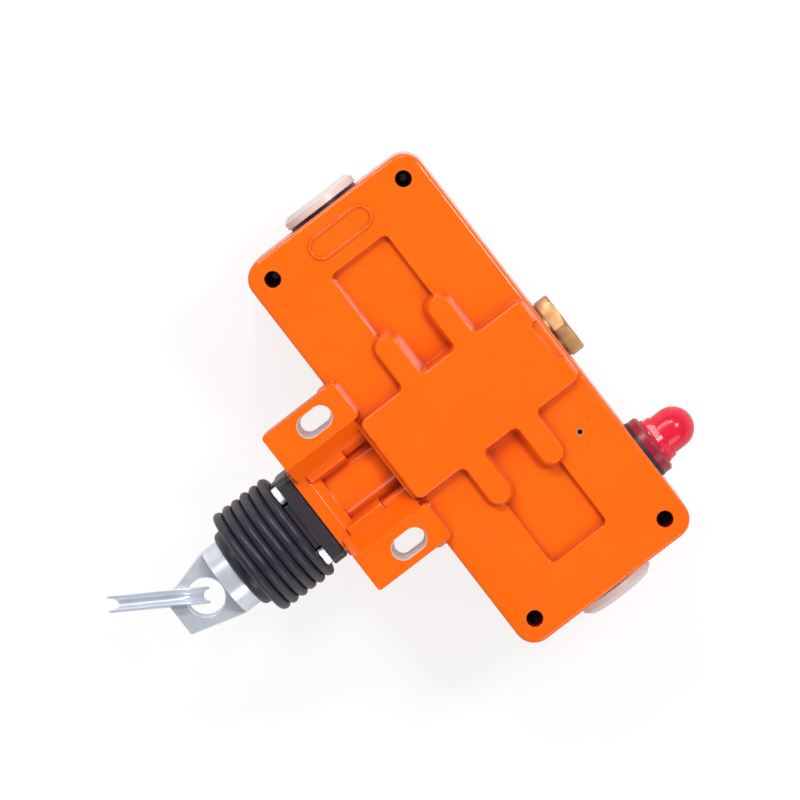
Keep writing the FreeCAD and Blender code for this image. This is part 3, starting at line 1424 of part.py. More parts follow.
def makeEarth():
    """Earth screw and cup washer on their boss in the back wall."""
    place = {"x": "earthPlaceX", "y": "earthPlaceY", "towards": "Z"}
    seat = "-padRise - backWall - earthBossDepth"
    bore = "earthScrewRadius + clearGap"
    washer = tube("earth_cup", bore, "earthBoss", "0", "earthCup", z=f"{seat} - earthCup", **place)
    keep(washer, "earth_washer")
    profile = (
        ("0", "earthHead - earthHeadBevel"),
        ("earthHeadBevel", "earthHead"),
        ("earthHeadHeight", "earthHead"),
        ("earthHeadHeight", "earthScrewRadius"),
        ("earthScrewLength", "earthScrewRadius"),
    )
    screw = solid("earth_bolt", profile, z=f"{seat} - earthCup - earthHeadHeight", **place)
    slotCut(screw, "earthHead + cutOver", "earthSlot", "-cutOver", "earthSlotDepth + cutOver")
    keep(screw, "earth_screw")


def makeReset():
    """Reset knob on the front, its shaft in a threaded bush, and the pawl that it lifts."""
    place = {"x": "resetPlace", "towards": "-Z"}
    inside = f"({frontZ} - coverWall)"
    outside = f"({frontZ} + resetRingRise)"
    bore = "resetShaftRadius + shaftGap"
    section = (
        (f"{inside} - resetBushFlangeHeight", bore),
        (f"{outside} - oringDepth", bore),
        (f"{outside} - oringDepth", "resetBushRadius - bushLip"),
        (outside, "resetBushRadius - bushLip"),
        (outside, "resetBushRadius"),
        (inside, "resetBushRadius"),
        (inside, "resetBushFlange"),
        (f"{inside} - resetBushFlangeHeight", "resetBushFlange"),
    )
    keep(turned("shaft_bush", section, **place), "reset_bush")

    groove = f"{inside} - resetBushFlangeHeight - clipThick - clipGap"
    inner, outer = "resetShaftRadius - clipGrip", "resetShaftRadius + clipWidth"
    clip = tube("snap_ring", inner, outer, groove, f"{groove} + clipThick", **place)
    sketch = newSketch(clip, "YZ_Plane", f"{groove} - cutOver")
    reach = f"{outer} + cutOver"
    polygon(sketch, (("0", "-clipMouth"), (reach, "-clipMouth"), (reach, "clipMouth"), ("0", "clipMouth")))
    pocket(clip, sketch, "clipThick + 2 * cutOver", back=True)
    keep(clip, "reset_clip")

    profile = (
        (resetTop, "resetShaftRadius"),
        (groove, "resetShaftRadius"),
        (groove, "resetShaftRadius - grooveDepth"),
        (f"{groove} + clipThick", "resetShaftRadius - grooveDepth"),
        (f"{groove} + clipThick", "resetShaftRadius"),
        (f"{outside} + knobGap + knobSocket - knobPlay", "resetShaftRadius"),
    )
    shaft = solid("reset_rod", profile, **place)
    sketch = circle(newSketch(shaft, "YZ_Plane", resetTop), "0", "0", "lugRadius")
    pad(shaft, sketch, "lugHeight")
    keep(shaft, "reset_shaft")

    ring = doc.addObject("Part::Torus", "shaft_ring")
    bind(ring, "Radius1", "(resetBushRadius - bushLip + resetShaftRadius) / 2")
    bind(ring, "Radius2", "(resetBushRadius - bushLip - resetShaftRadius) / 2 - ringGap")
    put(ring, x="resetPlace", z=f"-{outside} + oringDepth / 2")
    keep(ring, "reset_oring")

    start = f"{outside} + knobGap"
    section = (
        (f"{start} + knobSocket", "0"),
        (f"{start} + knobSocket", "resetShaftRadius + screwGap"),
        (start, "resetShaftRadius + screwGap"),
        (start, "knobRadius - knobBevel"),
        (f"{start} + knobBevel", "knobRadius"),
        (f"{start} + knobHeight - gripHeight", "knobRadius"),
        (f"{start} + knobHeight - gripHeight + knobStep", "knobRadius - knobStep"),
        (f"{start} + knobHeight", "knobRadius - knobCrown"),
        (f"{start} + knobHeight", "0"),
    )
    knob = turned("knob", section, **place)
    for sign in ("", "-"):
        low, high = sorted((f"{sign}(gripWidth / 2)", f"{sign}(knobRadius + cutOver)"), key=number)
        sketch = newSketch(knob, "YZ_Plane", f"{start} + knobHeight - gripHeight + knobStep")
        left, right = "-knobRadius - cutOver", "knobRadius + cutOver"
        polygon(sketch, ((left, low), (right, low), (right, high), (left, high)))
        pocket(knob, sketch, "gripHeight + cutOver", back=True)
    keep(knob, "reset_knob")

    # The pawl lies just under the collar's path; its nose stands behind the collar once latched
    pawl = newBody("pawl_lever")
    lever = (
        ("pawlNose", f"-{pawlTop}"),
        ("pawlNose + pawlTip", f"-{pawlTop}"),
        ("pawlNose + pawlRamp", f"-{pawlBack}"),
        ("pivotPlace", f"-{pawlBack}"),
        ("pivotPlace", f"-{pawlUnder}"),
        ("pawlNose + pawlChin", f"-{pawlUnder}"),
        ("pawlNose", f"-{pawlTop} - 2 * pawlStep"),
    )
    sketch = polygon(newSketch(pawl, "XZ_Plane", "-pawlHalf"), lever)
    pad(pawl, sketch, "2 * pawlHalf")
    sketch = circle(newSketch(pawl, "XZ_Plane", "-pawlHalf"), "pivotPlace", f"-{pivotDepth}", "pivotEye")
    pad(pawl, sketch, "2 * pawlHalf")
    sketch = newSketch(pawl, "XZ_Plane", "-pawlHalf - cutOver")
    circle(sketch, "pivotPlace", f"-{pivotDepth}", "pivotRadius + shaftGap")
    pocket(pawl, sketch, "2 * (pawlHalf + cutOver)", back=True)
    keep(pawl, "latch_pawl")
    half = "(pawlHalf + postGap + postThick)"
    pin = solid(
        "pawl_axle",
        ((f"-{half}", "pivotRadius"), (half, "pivotRadius")),
        x="pivotPlace",
        z=f"-{pivotDepth}",
        towards="Y",
    )
    keep(pin, "pawl_pin")


makeHousing()
makeCover()
makeEntryPlugs()
makeAxisPlug()
makeLamp()
makeFlange()
makeBellows()
makeShaft()
makeEye()
makeThimble()
makeContacts()
makeEarth()
makeReset()
doc.recompute()

for thing in doc.Objects:
    if "Invalid" in thing.State or "Error" in thing.State:
        raise RuntimeError(f"{thing.Label} ({thing.Name}) did not build: {thing.State}")
for piece in pieces:
    if piece.Shape.isNull() or not piece.Shape.isValid():
        raise RuntimeError(f"{piece.Label} has no sound shape")

os.makedirs("parts", exist_ok=True)
for piece in pieces:
    piece.Shape.exportStep(f"parts/{piece.Label}.step")
    print(piece.Label, len(piece.Shape.Solids), round(piece.Shape.Volume, 1))
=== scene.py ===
# Rope pull switch in a plain studio: finishes, soft parts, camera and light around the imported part.
# Metres, in the part's own frame: +Z out of the mounting face, +X away from the rope.
import json
import math

import bpy
import numpy as np
from mathutils import Matrix, Vector


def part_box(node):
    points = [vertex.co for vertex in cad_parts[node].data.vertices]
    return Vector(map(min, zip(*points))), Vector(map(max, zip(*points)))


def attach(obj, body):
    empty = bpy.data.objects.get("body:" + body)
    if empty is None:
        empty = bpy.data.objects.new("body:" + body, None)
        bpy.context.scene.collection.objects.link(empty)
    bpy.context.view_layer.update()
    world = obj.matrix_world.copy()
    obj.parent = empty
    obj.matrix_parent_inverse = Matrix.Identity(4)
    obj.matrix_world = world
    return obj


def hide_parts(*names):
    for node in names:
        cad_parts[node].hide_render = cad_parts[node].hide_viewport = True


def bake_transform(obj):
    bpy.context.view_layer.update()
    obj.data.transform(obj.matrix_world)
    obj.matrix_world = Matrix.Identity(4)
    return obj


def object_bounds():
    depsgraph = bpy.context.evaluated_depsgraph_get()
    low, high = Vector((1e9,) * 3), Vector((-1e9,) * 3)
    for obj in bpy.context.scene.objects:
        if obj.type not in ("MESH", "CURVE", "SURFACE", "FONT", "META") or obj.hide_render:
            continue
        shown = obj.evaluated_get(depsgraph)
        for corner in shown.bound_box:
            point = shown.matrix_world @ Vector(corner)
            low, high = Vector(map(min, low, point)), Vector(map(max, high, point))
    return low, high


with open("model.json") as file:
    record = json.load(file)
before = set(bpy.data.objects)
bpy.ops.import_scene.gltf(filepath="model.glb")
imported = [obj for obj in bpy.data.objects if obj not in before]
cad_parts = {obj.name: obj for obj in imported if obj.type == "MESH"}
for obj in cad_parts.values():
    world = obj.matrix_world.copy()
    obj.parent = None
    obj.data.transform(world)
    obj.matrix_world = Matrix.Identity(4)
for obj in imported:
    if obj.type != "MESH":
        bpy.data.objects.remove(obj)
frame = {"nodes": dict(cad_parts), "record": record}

cadBox = [list(corner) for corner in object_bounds()]
cadNodes = frame["nodes"]
scene = bpy.context.scene
print("frame loaded:", len(cadNodes), "nodes")


# Node helpers

# Adds a node, sets its own settings, and gives each input a plain value or a link
def put(tree, kind, inputs=None, **settings):
    item = tree.nodes.new(kind)
    for name, value in settings.items():
        setattr(item, name, value)
    for name, value in (inputs or {}).items():
        socket = item.inputs[name]
        if isinstance(value, bpy.types.NodeSocket):
            tree.links.new(value, socket)
        else:
            socket.default_value = value
    return item


# One Math node; each value is a number or a link
def calc(tree, operation, *values, clamp=False):
    item = put(tree, "ShaderNodeMath", dict(enumerate(values)), operation=operation, use_clamp=clamp)
    return item.outputs[0]


# Straight line from one range to another, held at its ends
def remap(tree, value, low, high, start=0.0, end=1.0):
    inputs = {"Value": value, "From Min": low, "From Max": high, "To Min": start, "To Max": end}
    return put(tree, "ShaderNodeMapRange", inputs).outputs["Result"]


# The colours of a Mix node are its inputs 6 and 7, and its output 2
def mixColour(tree, share, first, second):
    return put(tree, "ShaderNodeMix", {0: share, 6: first, 7: second}, data_type="RGBA").outputs[2]


# The scale counts lumps per metre
def noise(tree, place, scale, detail=2.0, rough=0.5):
    inputs = {"Vector": place, "Scale": scale, "Detail": detail, "Roughness": rough}
    return put(tree, "ShaderNodeTexNoise", inputs).outputs["Fac"]


# The depth is in metres; the bump lies on top of the given normal
def bump(tree, height, depth, normal=None):
    item = put(tree, "ShaderNodeBump", {"Height": height, "Distance": depth, "Strength": 1.0})
    if normal is not None:
        tree.links.new(normal, item.inputs["Normal"])
    return item.outputs[0]


# A group with named inputs and outputs; each input is a name, a socket kind and its first value
def newGroup(name, inputs, outputs):
    tree = bpy.data.node_groups.new(name, "ShaderNodeTree")
    for title, kind, value in inputs:
        socket = tree.interface.new_socket(title, in_out="INPUT", socket_type=f"NodeSocket{kind}")
        if value is not None:
            socket.default_value = value
    for title, kind in outputs:
        tree.interface.new_socket(title, in_out="OUTPUT", socket_type=f"NodeSocket{kind}")
    return tree, tree.nodes.new("NodeGroupInput").outputs, tree.nodes.new("NodeGroupOutput").inputs


def useGroup(tree, group, **inputs):
    return put(tree, "ShaderNodeGroup", inputs, node_tree=group).outputs


# Shared effects

# A pair is where the effect starts and where it is full
effectSet = {
    "bevelSamples": 6,
    "lean": (0.995, 0.8),
    "chipped": (0.35, 0.7),
    "broadShare": 0.35,
    "tone": (0.3, 0.7),
    "patch": (0.42, 0.68),
    "scratch": (0.68, 0.76),
    "scratchTurn": (0.3, 0.2, 0.7),
    "scratchStretch": (1.0, 0.03, 0.12),
    "dustSamples": 6,
    "dusty": (0.75, 0.25),
    "speck": (0.3, 0.7),
    "shadeSamples": 8,
    "shaded": (0.86, 0.38),
    "shadePower": 1.2,
}


# Edge wear: how far the normal of a rounded copy of the edge leans from the real one, broken up by noise
def makeEdgeWear(look):
    tree, given, out = newGroup(
        "edgeWear",
        [("Vector", "Vector", None), ("Radius", "Float", 0.0004), ("Breakup", "Float", 900.0)],
        [("Mask", "Float"), ("Normal", "Vector")],
    )
    bevel = put(tree, "ShaderNodeBevel", {"Radius": given["Radius"]}, samples=look["bevelSamples"])
    rounded = bevel.outputs["Normal"]
    flat = put(tree, "ShaderNodeNewGeometry").outputs["True Normal"]
    lean = put(tree, "ShaderNodeVectorMath", {0: rounded, 1: flat}, operation="DOT_PRODUCT")
    worn = remap(tree, lean.outputs["Value"], *look["lean"])
    chips = noise(tree, given["Vector"], given["Breakup"], detail=3.0, rough=0.6)
    tree.links.new(calc(tree, "MULTIPLY", worn, remap(tree, chips, *look["chipped"])), out["Mask"])
    tree.links.new(rounded, out["Normal"])
    return tree


# Grain: fine lumps on broad ones, as sprayed or cast skins have; Tone is the broad part alone
def makeGrain(look):
    tree, given, out = newGroup(
        "grain",
        [("Vector", "Vector", None), ("Fine", "Float", 2600.0), ("Broad", "Float", 60.0)],
        [("Height", "Float"), ("Tone", "Float")],
    )
    fine = noise(tree, given["Vector"], given["Fine"], detail=2.0, rough=0.45)
    broad = noise(tree, given["Vector"], given["Broad"], detail=3.0)
    tree.links.new(calc(tree, "MULTIPLY_ADD", broad, look["broadShare"], fine), out["Height"])
    tree.links.new(remap(tree, broad, *look["tone"]), out["Tone"])
    return tree


# Handling marks: patches of noise cut by thin scratches, which are noise drawn out along one axis
def makeMarks(look):
    tree, given, out = newGroup(
        "handlingMarks",
        [("Vector", "Vector", None), ("Patches", "Float", 45.0), ("Scratches", "Float", 700.0)],
        [("Mask", "Float"), ("Scratch", "Float")],
    )
    cloud = noise(tree, given["Vector"], given["Patches"], detail=4.0, rough=0.6)
    patches = remap(tree, cloud, *look["patch"])
    turn = {"Vector": given["Vector"], "Rotation": look["scratchTurn"], "Scale": look["scratchStretch"]}
    drawn = put(tree, "ShaderNodeMapping", turn).outputs[0]
    lines = remap(tree, noise(tree, drawn, given["Scratches"], detail=1.0), *look["scratch"])
    tree.links.new(patches, out["Mask"])
    tree.links.new(calc(tree, "MULTIPLY", lines, patches), out["Scratch"])
    return tree


# How open a spot is: 1 in the open, 0 deep in a corner that is closed within the reach
def openness(tree, reach, samples):
    return put(tree, "ShaderNodeAmbientOcclusion", {"Distance": reach}, samples=samples).outputs["AO"]


# Dust: what little open sky a corner sees, times fine noise
def makeDust(look):
    tree, given, out = newGroup(
        "cornerDust",
        [("Vector", "Vector", None), ("Reach", "Float", 0.004), ("Fine", "Float", 500.0)],
        [("Mask", "Float")],
    )
    closed = remap(tree, openness(tree, given["Reach"], look["dustSamples"]), *look["dusty"])
    speck = remap(tree, noise(tree, given["Vector"], given["Fine"], detail=4.0, rough=0.7), *look["speck"])
    tree.links.new(calc(tree, "MULTIPLY", closed, speck), out["Mask"])
    return tree


# Corner shade: 0 in the open and 1 deep in a corner, where painted shade darkens the colour
def makeCornerShade(look):
    tree, given, out = newGroup("cornerShade", [("Reach", "Float", 0.006)], [("Mask", "Float")])
    closed = remap(tree, openness(tree, given["Reach"], look["shadeSamples"]), *look["shaded"])
    tree.links.new(calc(tree, "POWER", closed, look["shadePower"]), out["Mask"])
    return tree


# Turned or rolled lines: noise squeezed along the direction that the tool crossed
def makeToolLines():
    tree, given, out = newGroup(
        "toolLines",
        [("Vector", "Vector", None), ("Stretch", "Vector", (1.0, 0.05, 0.05)), ("Scale", "Float", 3000.0)],
        [("Height", "Float")],
    )
    stretch = {"Vector": given["Vector"], "Scale": given["Stretch"]}
    drawn = put(tree, "ShaderNodeMapping", stretch).outputs[0]
    tree.links.new(noise(tree, drawn, given["Scale"], detail=3.0, rough=0.6), out["Height"])
    return tree


# Distance outside a slot that lies along X, mirrored over Y: zero on its rim, negative inside
def makeSlotDistance():
    tree, given, out = newGroup(
        "slotDistance",
        [
            ("Vector", "Vector", None),
            ("Centre", "Vector", (0, 0, 0)),
            ("Half", "Float", 0.003),
            ("Round", "Float", 0.0045),
        ],
        [("Distance", "Float")],
    )
    at = put(tree, "ShaderNodeSeparateXYZ", {0: given["Vector"]}).outputs
    centre = put(tree, "ShaderNodeSeparateXYZ", {0: given["Centre"]}).outputs
    along = calc(tree, "ABSOLUTE", calc(tree, "SUBTRACT", at["X"], centre["X"]))
    past = calc(tree, "MAXIMUM", calc(tree, "SUBTRACT", along, given["Half"]), 0.0)
    across = calc(tree, "SUBTRACT", calc(tree, "ABSOLUTE", at["Y"]), centre["Y"])
    squares = (calc(tree, "POWER", side, 2.0) for side in (past, across))
    far = calc(tree, "SQRT", calc(tree, "ADD", *squares))
    tree.links.new(calc(tree, "SUBTRACT", far, given["Round"]), out["Distance"])
    return tree


edgeWear = makeEdgeWear(effectSet)
grain = makeGrain(effectSet)
handlingMarks = makeMarks(effectSet)
cornerDust = makeDust(effectSet)
cornerShade = makeCornerShade(effectSet)
toolLines = makeToolLines()
slotDistance = makeSlotDistance()
print("effects made")


# Finishes

# An empty material with its shader; returns the tree, the shader and the object's own coordinates
def newFinish(name, **plain):
    finish = bpy.data.materials.new(name)
    finish.use_nodes = True
    tree = finish.node_tree
    shader = tree.nodes["Principled BSDF"]
    for title, value in plain.items():
        shader.inputs[title].default_value = value
    place = tree.nodes.new("ShaderNodeTexCoord").outputs["Object"]
    return finish, tree, shader, place


# Lengths in metres, noise scales in lumps per metre, shares from 0 to 1
enamelSet = {
    "colour": (1.0, 0.152, 0.005, 1),
    "deep": (1.0, 0.140, 0.003, 1),
    # Edge: worn edges drawn lighter than the paint, which is edge wear and also a faint painted highlight
    "edge": (1.0, 0.21, 0.02, 1),
    "edgeShare": 0.3,
    "edgeRadius": 0.0007,
    "edgeBreakup": 500.0,
    # Painted shade: the deep red mixed into the paint deep in corners, how far it reaches and how much
    "shade": (0.46, 0.014, 0.004, 1),
    "shadeReach": 0.010,
    "shadeShare": 0.85,
    "dust": (0.75, 0.42, 0.28, 1),
    "dustShare": 0.04,
    "dustRoughness": 0.2,
    "fine": 1500.0,
    "broad": 35.0,
    "peel": 0.00001,
    "roughness": (0.13, 0.20),
    "specular": 0.35,
    "coat": 0.25,
    "coatRoughness": 0.04,
    "metal": (0.92, 0.90, 0.90, 1),
    "dull": (0.30, 0.27, 0.26, 1),
    "metallic": 0.15,
    "slotCentre": (-0.0511, 0.0291, 0.0),
    "slotHalf": 0.00275,
    "slotRound": 0.0046,
    "slotRim": (0.0001, -0.00005),
    "dotCentre": (0.0256, -0.0352),
    "dotRadius": 0.0013,
    "dotCore": 0.9,
}


# Sprayed orange enamel, with bare metal on the milled slot walls and on the earth screw's end, worn edges
# drawn lighter, which also paints a faint highlight on them, and painted shade deep in the corners
def makeEnamel(look):
    gloss = {
        "Specular IOR Level": look["specular"],
        "Coat Weight": look["coat"],
        "Coat Roughness": look["coatRoughness"],
    }
    finish, tree, shader, place = newFinish("orangeEnamel", **gloss)
    edgeWearAndHighlight = useGroup(tree, edgeWear, Vector=place, Radius=look["edgeRadius"], Breakup=look["edgeBreakup"])
    skin = useGroup(tree, grain, Vector=place, Fine=look["fine"], Broad=look["broad"])
    marks = useGroup(tree, handlingMarks, Vector=place)
    dust = useGroup(tree, cornerDust, Vector=place)
    # Painted shade: deep corners are darkened to deep red in the colour itself
    shade = useGroup(tree, cornerShade, Reach=look["shadeReach"])
    colour = mixColour(tree, skin["Tone"], look["colour"], look["deep"])
    # Lighter worn edges, which are also a painted highlight, then real dust, then painted corner shade
    for mask, layer in ((edgeWearAndHighlight["Mask"], "edge"), (dust["Mask"], "dust"), (shade["Mask"], "shade")):
        colour = mixColour(tree, calc(tree, "MULTIPLY", mask, look[layer + "Share"]), colour, look[layer])
    slotSize = {"Centre": look["slotCentre"], "Half": look["slotHalf"], "Round": look["slotRound"]}
    slot = useGroup(tree, slotDistance, Vector=place, **slotSize)
    at = put(tree, "ShaderNodeSeparateXYZ", {0: place}).outputs
    flatSpot = put(tree, "ShaderNodeCombineXYZ", {"X": at["X"], "Y": at["Y"]}).outputs[0]
    dotPlace = (*look["dotCentre"], 0)
    reach = put(tree, "ShaderNodeVectorMath", {0: flatSpot, 1: dotPlace}, operation="DISTANCE")
    dot = remap(tree, reach.outputs["Value"], look["dotRadius"], look["dotRadius"] * look["dotCore"])
    bare = calc(tree, "MAXIMUM", remap(tree, slot["Distance"], *look["slotRim"]), dot)
    metal = mixColour(tree, dot, look["metal"], look["dull"])
    tree.links.new(mixColour(tree, bare, colour, metal), shader.inputs["Base Color"])
    tree.links.new(calc(tree, "MULTIPLY", bare, look["metallic"]), shader.inputs["Metallic"])
    rough = remap(tree, marks["Mask"], 0.0, 1.0, *look["roughness"])
    rough = calc(tree, "ADD", rough, calc(tree, "MULTIPLY", dust["Mask"], look["dustRoughness"]))
    tree.links.new(rough, shader.inputs["Roughness"])
    tree.links.new(bump(tree, skin["Height"], look["peel"], edgeWearAndHighlight["Normal"]), shader.inputs["Normal"])
    return finish


rubberSet = {
    "colour": (0.028, 0.026, 0.040, 1),
    "bloom": (0.065, 0.060, 0.085, 1),
    "bloomShare": 0.35,
    "dustShare": 0.2,
    "dustReach": 0.003,
    "roughness": (0.30, 0.46),
    "fine": 3500.0,
    "broad": 120.0,
    "patches": 140.0,
    "skin": 0.00002,
}


# Moulded rubber: dark, half matt, with a pale bloom where hands don't reach
def makeRubber(look):
    finish, tree, shader, place = newFinish("blackRubber")
    skin = useGroup(tree, grain, Vector=place, Fine=look["fine"], Broad=look["broad"])
    marks = useGroup(tree, handlingMarks, Vector=place, Patches=look["patches"])
    dust = useGroup(tree, cornerDust, Vector=place, Reach=look["dustReach"])
    bloom = calc(tree, "MULTIPLY", marks["Mask"], look["bloomShare"])
    bloom = calc(tree, "ADD", bloom, calc(tree, "MULTIPLY", dust["Mask"], look["dustShare"]), clamp=True)
    tree.links.new(mixColour(tree, bloom, look["colour"], look["bloom"]), shader.inputs["Base Color"])
    tree.links.new(remap(tree, skin["Tone"], 0.0, 1.0, *look["roughness"]), shader.inputs["Roughness"])
    tree.links.new(bump(tree, skin["Height"], look["skin"]), shader.inputs["Normal"])
    return finish


plasticSet = {
    "edgeRadius": 0.0004,
    "edgeBreakup": 1200.0,
    "edgeShare": 0.3,
    "scratchShare": 0.3,
    "fine": 4200.0,
    "broad": 90.0,
    "patches": 110.0,
    "skin": 0.00001,
}

# For each slot of the record: the finish, its colour, the colour of its scuffs, and its roughness
plastics = {
    "black_plastic": ("blackPlastic", (0.040, 0.034, 0.042, 1), (0.16, 0.15, 0.17, 1), (0.32, 0.48)),
    "white_plastic": ("whitePlastic", (0.79, 0.69, 0.66, 1), (0.66, 0.55, 0.52, 1), (0.30, 0.45)),
    "grey_plastic": ("greyPlastic", (0.50, 0.51, 0.51, 1), (0.66, 0.66, 0.66, 1), (0.35, 0.50)),
    "dark_red_plastic": ("darkRedPlastic", (0.34, 0.016, 0.040, 1), (0.5, 0.08, 0.10, 1), (0.24, 0.36)),
    "blue_plastic": ("bluePlastic", (0.02, 0.11, 0.48, 1), (0.16, 0.28, 0.6, 1), (0.22, 0.36)),
    "black_plunger": ("blackPlunger", (0.05, 0.05, 0.055, 1), (0.2, 0.2, 0.21, 1), (0.25, 0.35)),
}


# Moulded plastic of any colour: fine spark-eroded grain, pale scuffs and softened edges
def makePlastic(look, name, colour, scuff, roughness):
    finish, tree, shader, place = newFinish(name)
    edge = useGroup(tree, edgeWear, Vector=place, Radius=look["edgeRadius"], Breakup=look["edgeBreakup"])
    skin = useGroup(tree, grain, Vector=place, Fine=look["fine"], Broad=look["broad"])
    marks = useGroup(tree, handlingMarks, Vector=place, Patches=look["patches"])
    worn = calc(tree, "MULTIPLY", edge["Mask"], look["edgeShare"])
    scratched = calc(tree, "MULTIPLY", marks["Scratch"], look["scratchShare"])
    share = calc(tree, "ADD", worn, scratched, clamp=True)
    tree.links.new(mixColour(tree, share, colour, scuff), shader.inputs["Base Color"])
    tree.links.new(remap(tree, marks["Mask"], 0.0, 1.0, *roughness), shader.inputs["Roughness"])
    tree.links.new(bump(tree, skin["Height"], look["skin"], edge["Normal"]), shader.inputs["Normal"])
    return finish


metalSet = {
    "edgeRadius": 0.0003,
    "edgeBreakup": 900.0,
    "edgeShare": 0.6,
    "edgeBright": 1.15,
    "fine": 1800.0,
    "broad": 150.0,
    "patches": 160.0,
    "scratches": 900.0,
    "scratchRoughness": 0.1,
    "lineStretch": (1.0, 0.05, 0.05),
    "lineScale": 3000.0,
}

# For each slot: the finish, its colour, the colour of its clouds, roughness, metallic, depth of tool lines
metals = {
    "zinc_steel": ("zincSteel", (0.85, 0.90, 0.98, 1), (0.75, 0.81, 0.92, 1), (0.28, 0.40), 0.45, 1e-6),
    "bright_steel": ("brightSteel", (0.62, 0.62, 0.63, 1), (0.55, 0.55, 0.57, 1), (0.16, 0.26), 1.0, 4e-6),
    "spring_steel": ("springSteel", (0.40, 0.41, 0.43, 1), (0.30, 0.31, 0.33, 1), (0.28, 0.42), 1.0, 4e-6),
    "brass": ("brass", (0.60, 0.38, 0.18, 1), (0.34, 0.16, 0.07, 1), (0.32, 0.48), 1.0, 4e-6),
}


# Steel or brass: tool lines along one axis, cloudy plating, brighter rubbed edges
def makeMetal(look, name, colour, cloud, roughness, metallic, lines):
    finish, tree, shader, place = newFinish(name, Metallic=metallic)
    edge = useGroup(tree, edgeWear, Vector=place, Radius=look["edgeRadius"], Breakup=look["edgeBreakup"])
    skin = useGroup(tree, grain, Vector=place, Fine=look["fine"], Broad=look["broad"])
    marks = useGroup(
        tree, handlingMarks, Vector=place, Patches=look["patches"], Scratches=look["scratches"]
    )
    drawn = useGroup(tree, toolLines, Vector=place, Stretch=look["lineStretch"], Scale=look["lineScale"])
    tone = mixColour(tree, skin["Tone"], colour, cloud)
    bright = tuple(min(1.0, part * look["edgeBright"]) for part in colour[:3]) + (1,)
    tone = mixColour(tree, calc(tree, "MULTIPLY", edge["Mask"], look["edgeShare"]), tone, bright)
    tree.links.new(tone, shader.inputs["Base Color"])
    rough = remap(tree, marks["Mask"], 0.0, 1.0, *roughness)
    rough = calc(tree, "ADD", rough, calc(tree, "MULTIPLY", marks["Scratch"], look["scratchRoughness"]))
    tree.links.new(rough, shader.inputs["Roughness"])
    tree.links.new(bump(tree, drawn["Height"], lines, edge["Normal"]), shader.inputs["Normal"])
    return finish


clearSet = {
    "edgeRadius": 0.0003,
    "edgeBreakup": 900.0,
    "fine": 900.0,
    "broad": 140.0,
    "patches": 120.0,
    "ior": 1.49,
}

# For each slot: the finish, its colour, the same deeper, roughness, transmission, depth of flow marks
clears = {
    "red_lens": ("redLens", (1.0, 0.020, 0.070, 1), (0.95, 0.012, 0.050, 1), (0.16, 0.24), 0.22, 2e-6),
    "clear_pane": ("clearPane", (0.93, 0.96, 0.96, 1), (0.88, 0.92, 0.92, 1), (0.03, 0.08), 0.95, 1e-5),
}


# Tinted clear plastic: light passes through, and the skin has faint flow marks
def makeClear(look, name, colour, deep, roughness, transmission, flow):
    glass = {"Transmission Weight": transmission, "IOR": look["ior"]}
    finish, tree, shader, place = newFinish(name, **glass)
    skin = useGroup(tree, grain, Vector=place, Fine=look["fine"], Broad=look["broad"])
    marks = useGroup(tree, handlingMarks, Vector=place, Patches=look["patches"])
    edge = useGroup(tree, edgeWear, Vector=place, Radius=look["edgeRadius"], Breakup=look["edgeBreakup"])
    tree.links.new(mixColour(tree, skin["Tone"], colour, deep), shader.inputs["Base Color"])
    tree.links.new(remap(tree, marks["Mask"], 0.0, 1.0, *roughness), shader.inputs["Roughness"])
    tree.links.new(bump(tree, skin["Height"], flow, edge["Normal"]), shader.inputs["Normal"])
    return finish


finishes = {"orange_enamel": makeEnamel(enamelSet), "black_rubber": makeRubber(rubberSet)}
kinds = ((makePlastic, plasticSet, plastics), (makeMetal, metalSet, metals), (makeClear, clearSet, clears))
for make, look, rows in kinds:
    finishes.update((slot, make(look, *values)) for slot, values in rows.items())
for row in frame["record"]["subparts"]:
    for holder in cadNodes[row["node"]].material_slots:
        holder.material = finishes[row["material_slot"]]
print("finishes made:", len(finishes))


# Surface helpers

# Faces of a grid of points, line by line: each line is closed, and closedRows joins the last to the first
def gridFaces(rows, columns, closedRows):
    row = np.arange(rows if closedRows else rows - 1)[:, None]
    column = np.arange(columns)[None, :]
    after, beside = (row + 1) % rows, (column + 1) % columns
    here, there = row * columns, after * columns
    corners = (here + column, there + column, there + beside, here + beside)
    return np.stack(np.broadcast_arrays(*corners), axis=-1).reshape(-1, 4).tolist()


# A fan of triangles from one point to a closed line of others
def fanFaces(tip, first, count):
    ring = first + np.arange(count)
    return np.stack((np.full(count, tip), ring, np.roll(ring, -1)), axis=-1).tolist()


# Closed surface as an object that stands for a CAD node: outwards is where its volume counts positive
def newPiece(name, points, faces, node, sharp):
    mesh = bpy.data.meshes.new(name)
    mesh.from_pydata(points.tolist(), [], faces)
    mesh.validate()
    mesh.calc_loop_triangles()
    corners = np.empty(len(mesh.loop_triangles) * 3, dtype=np.int32)
    mesh.loop_triangles.foreach_get("vertices", corners)
    first, second, third = (points[corners[start::3]] for start in range(3))
    if np.einsum("ij,ij->", first, np.cross(second, third)) < 0:
        mesh.flip_normals()
    mesh.shade_smooth()
    mesh.set_sharp_from_angle(angle=math.radians(sharp))
    piece = bpy.data.objects.new(name, mesh)
    scene.collection.objects.link(piece)
    slot = next(row["material_slot"] for row in frame["record"]["subparts"] if row["node"] == node)
    mesh.materials.append(finishes[slot])
    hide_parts(node)
    return piece


# Turned surface round X: along, reach * cos, reach * sin for each point of the profile and each angle.
# The shape changes the reach from place to place; closed joins the profile's last point to its first.
def turnedPoints(profile, turns, shape, closed):
    angles = np.linspace(0, 2 * np.pi, turns, endpoint=False)
    along = profile[:, 0][:, None]
    reach = shape(along, profile[:, 1][:, None], angles)
    points = np.stack(np.broadcast_arrays(along, reach * np.cos(angles), reach * np.sin(angles)), axis=-1)
    return points.reshape(-1, 3), gridFaces(len(profile), turns, closed)


# Bellows

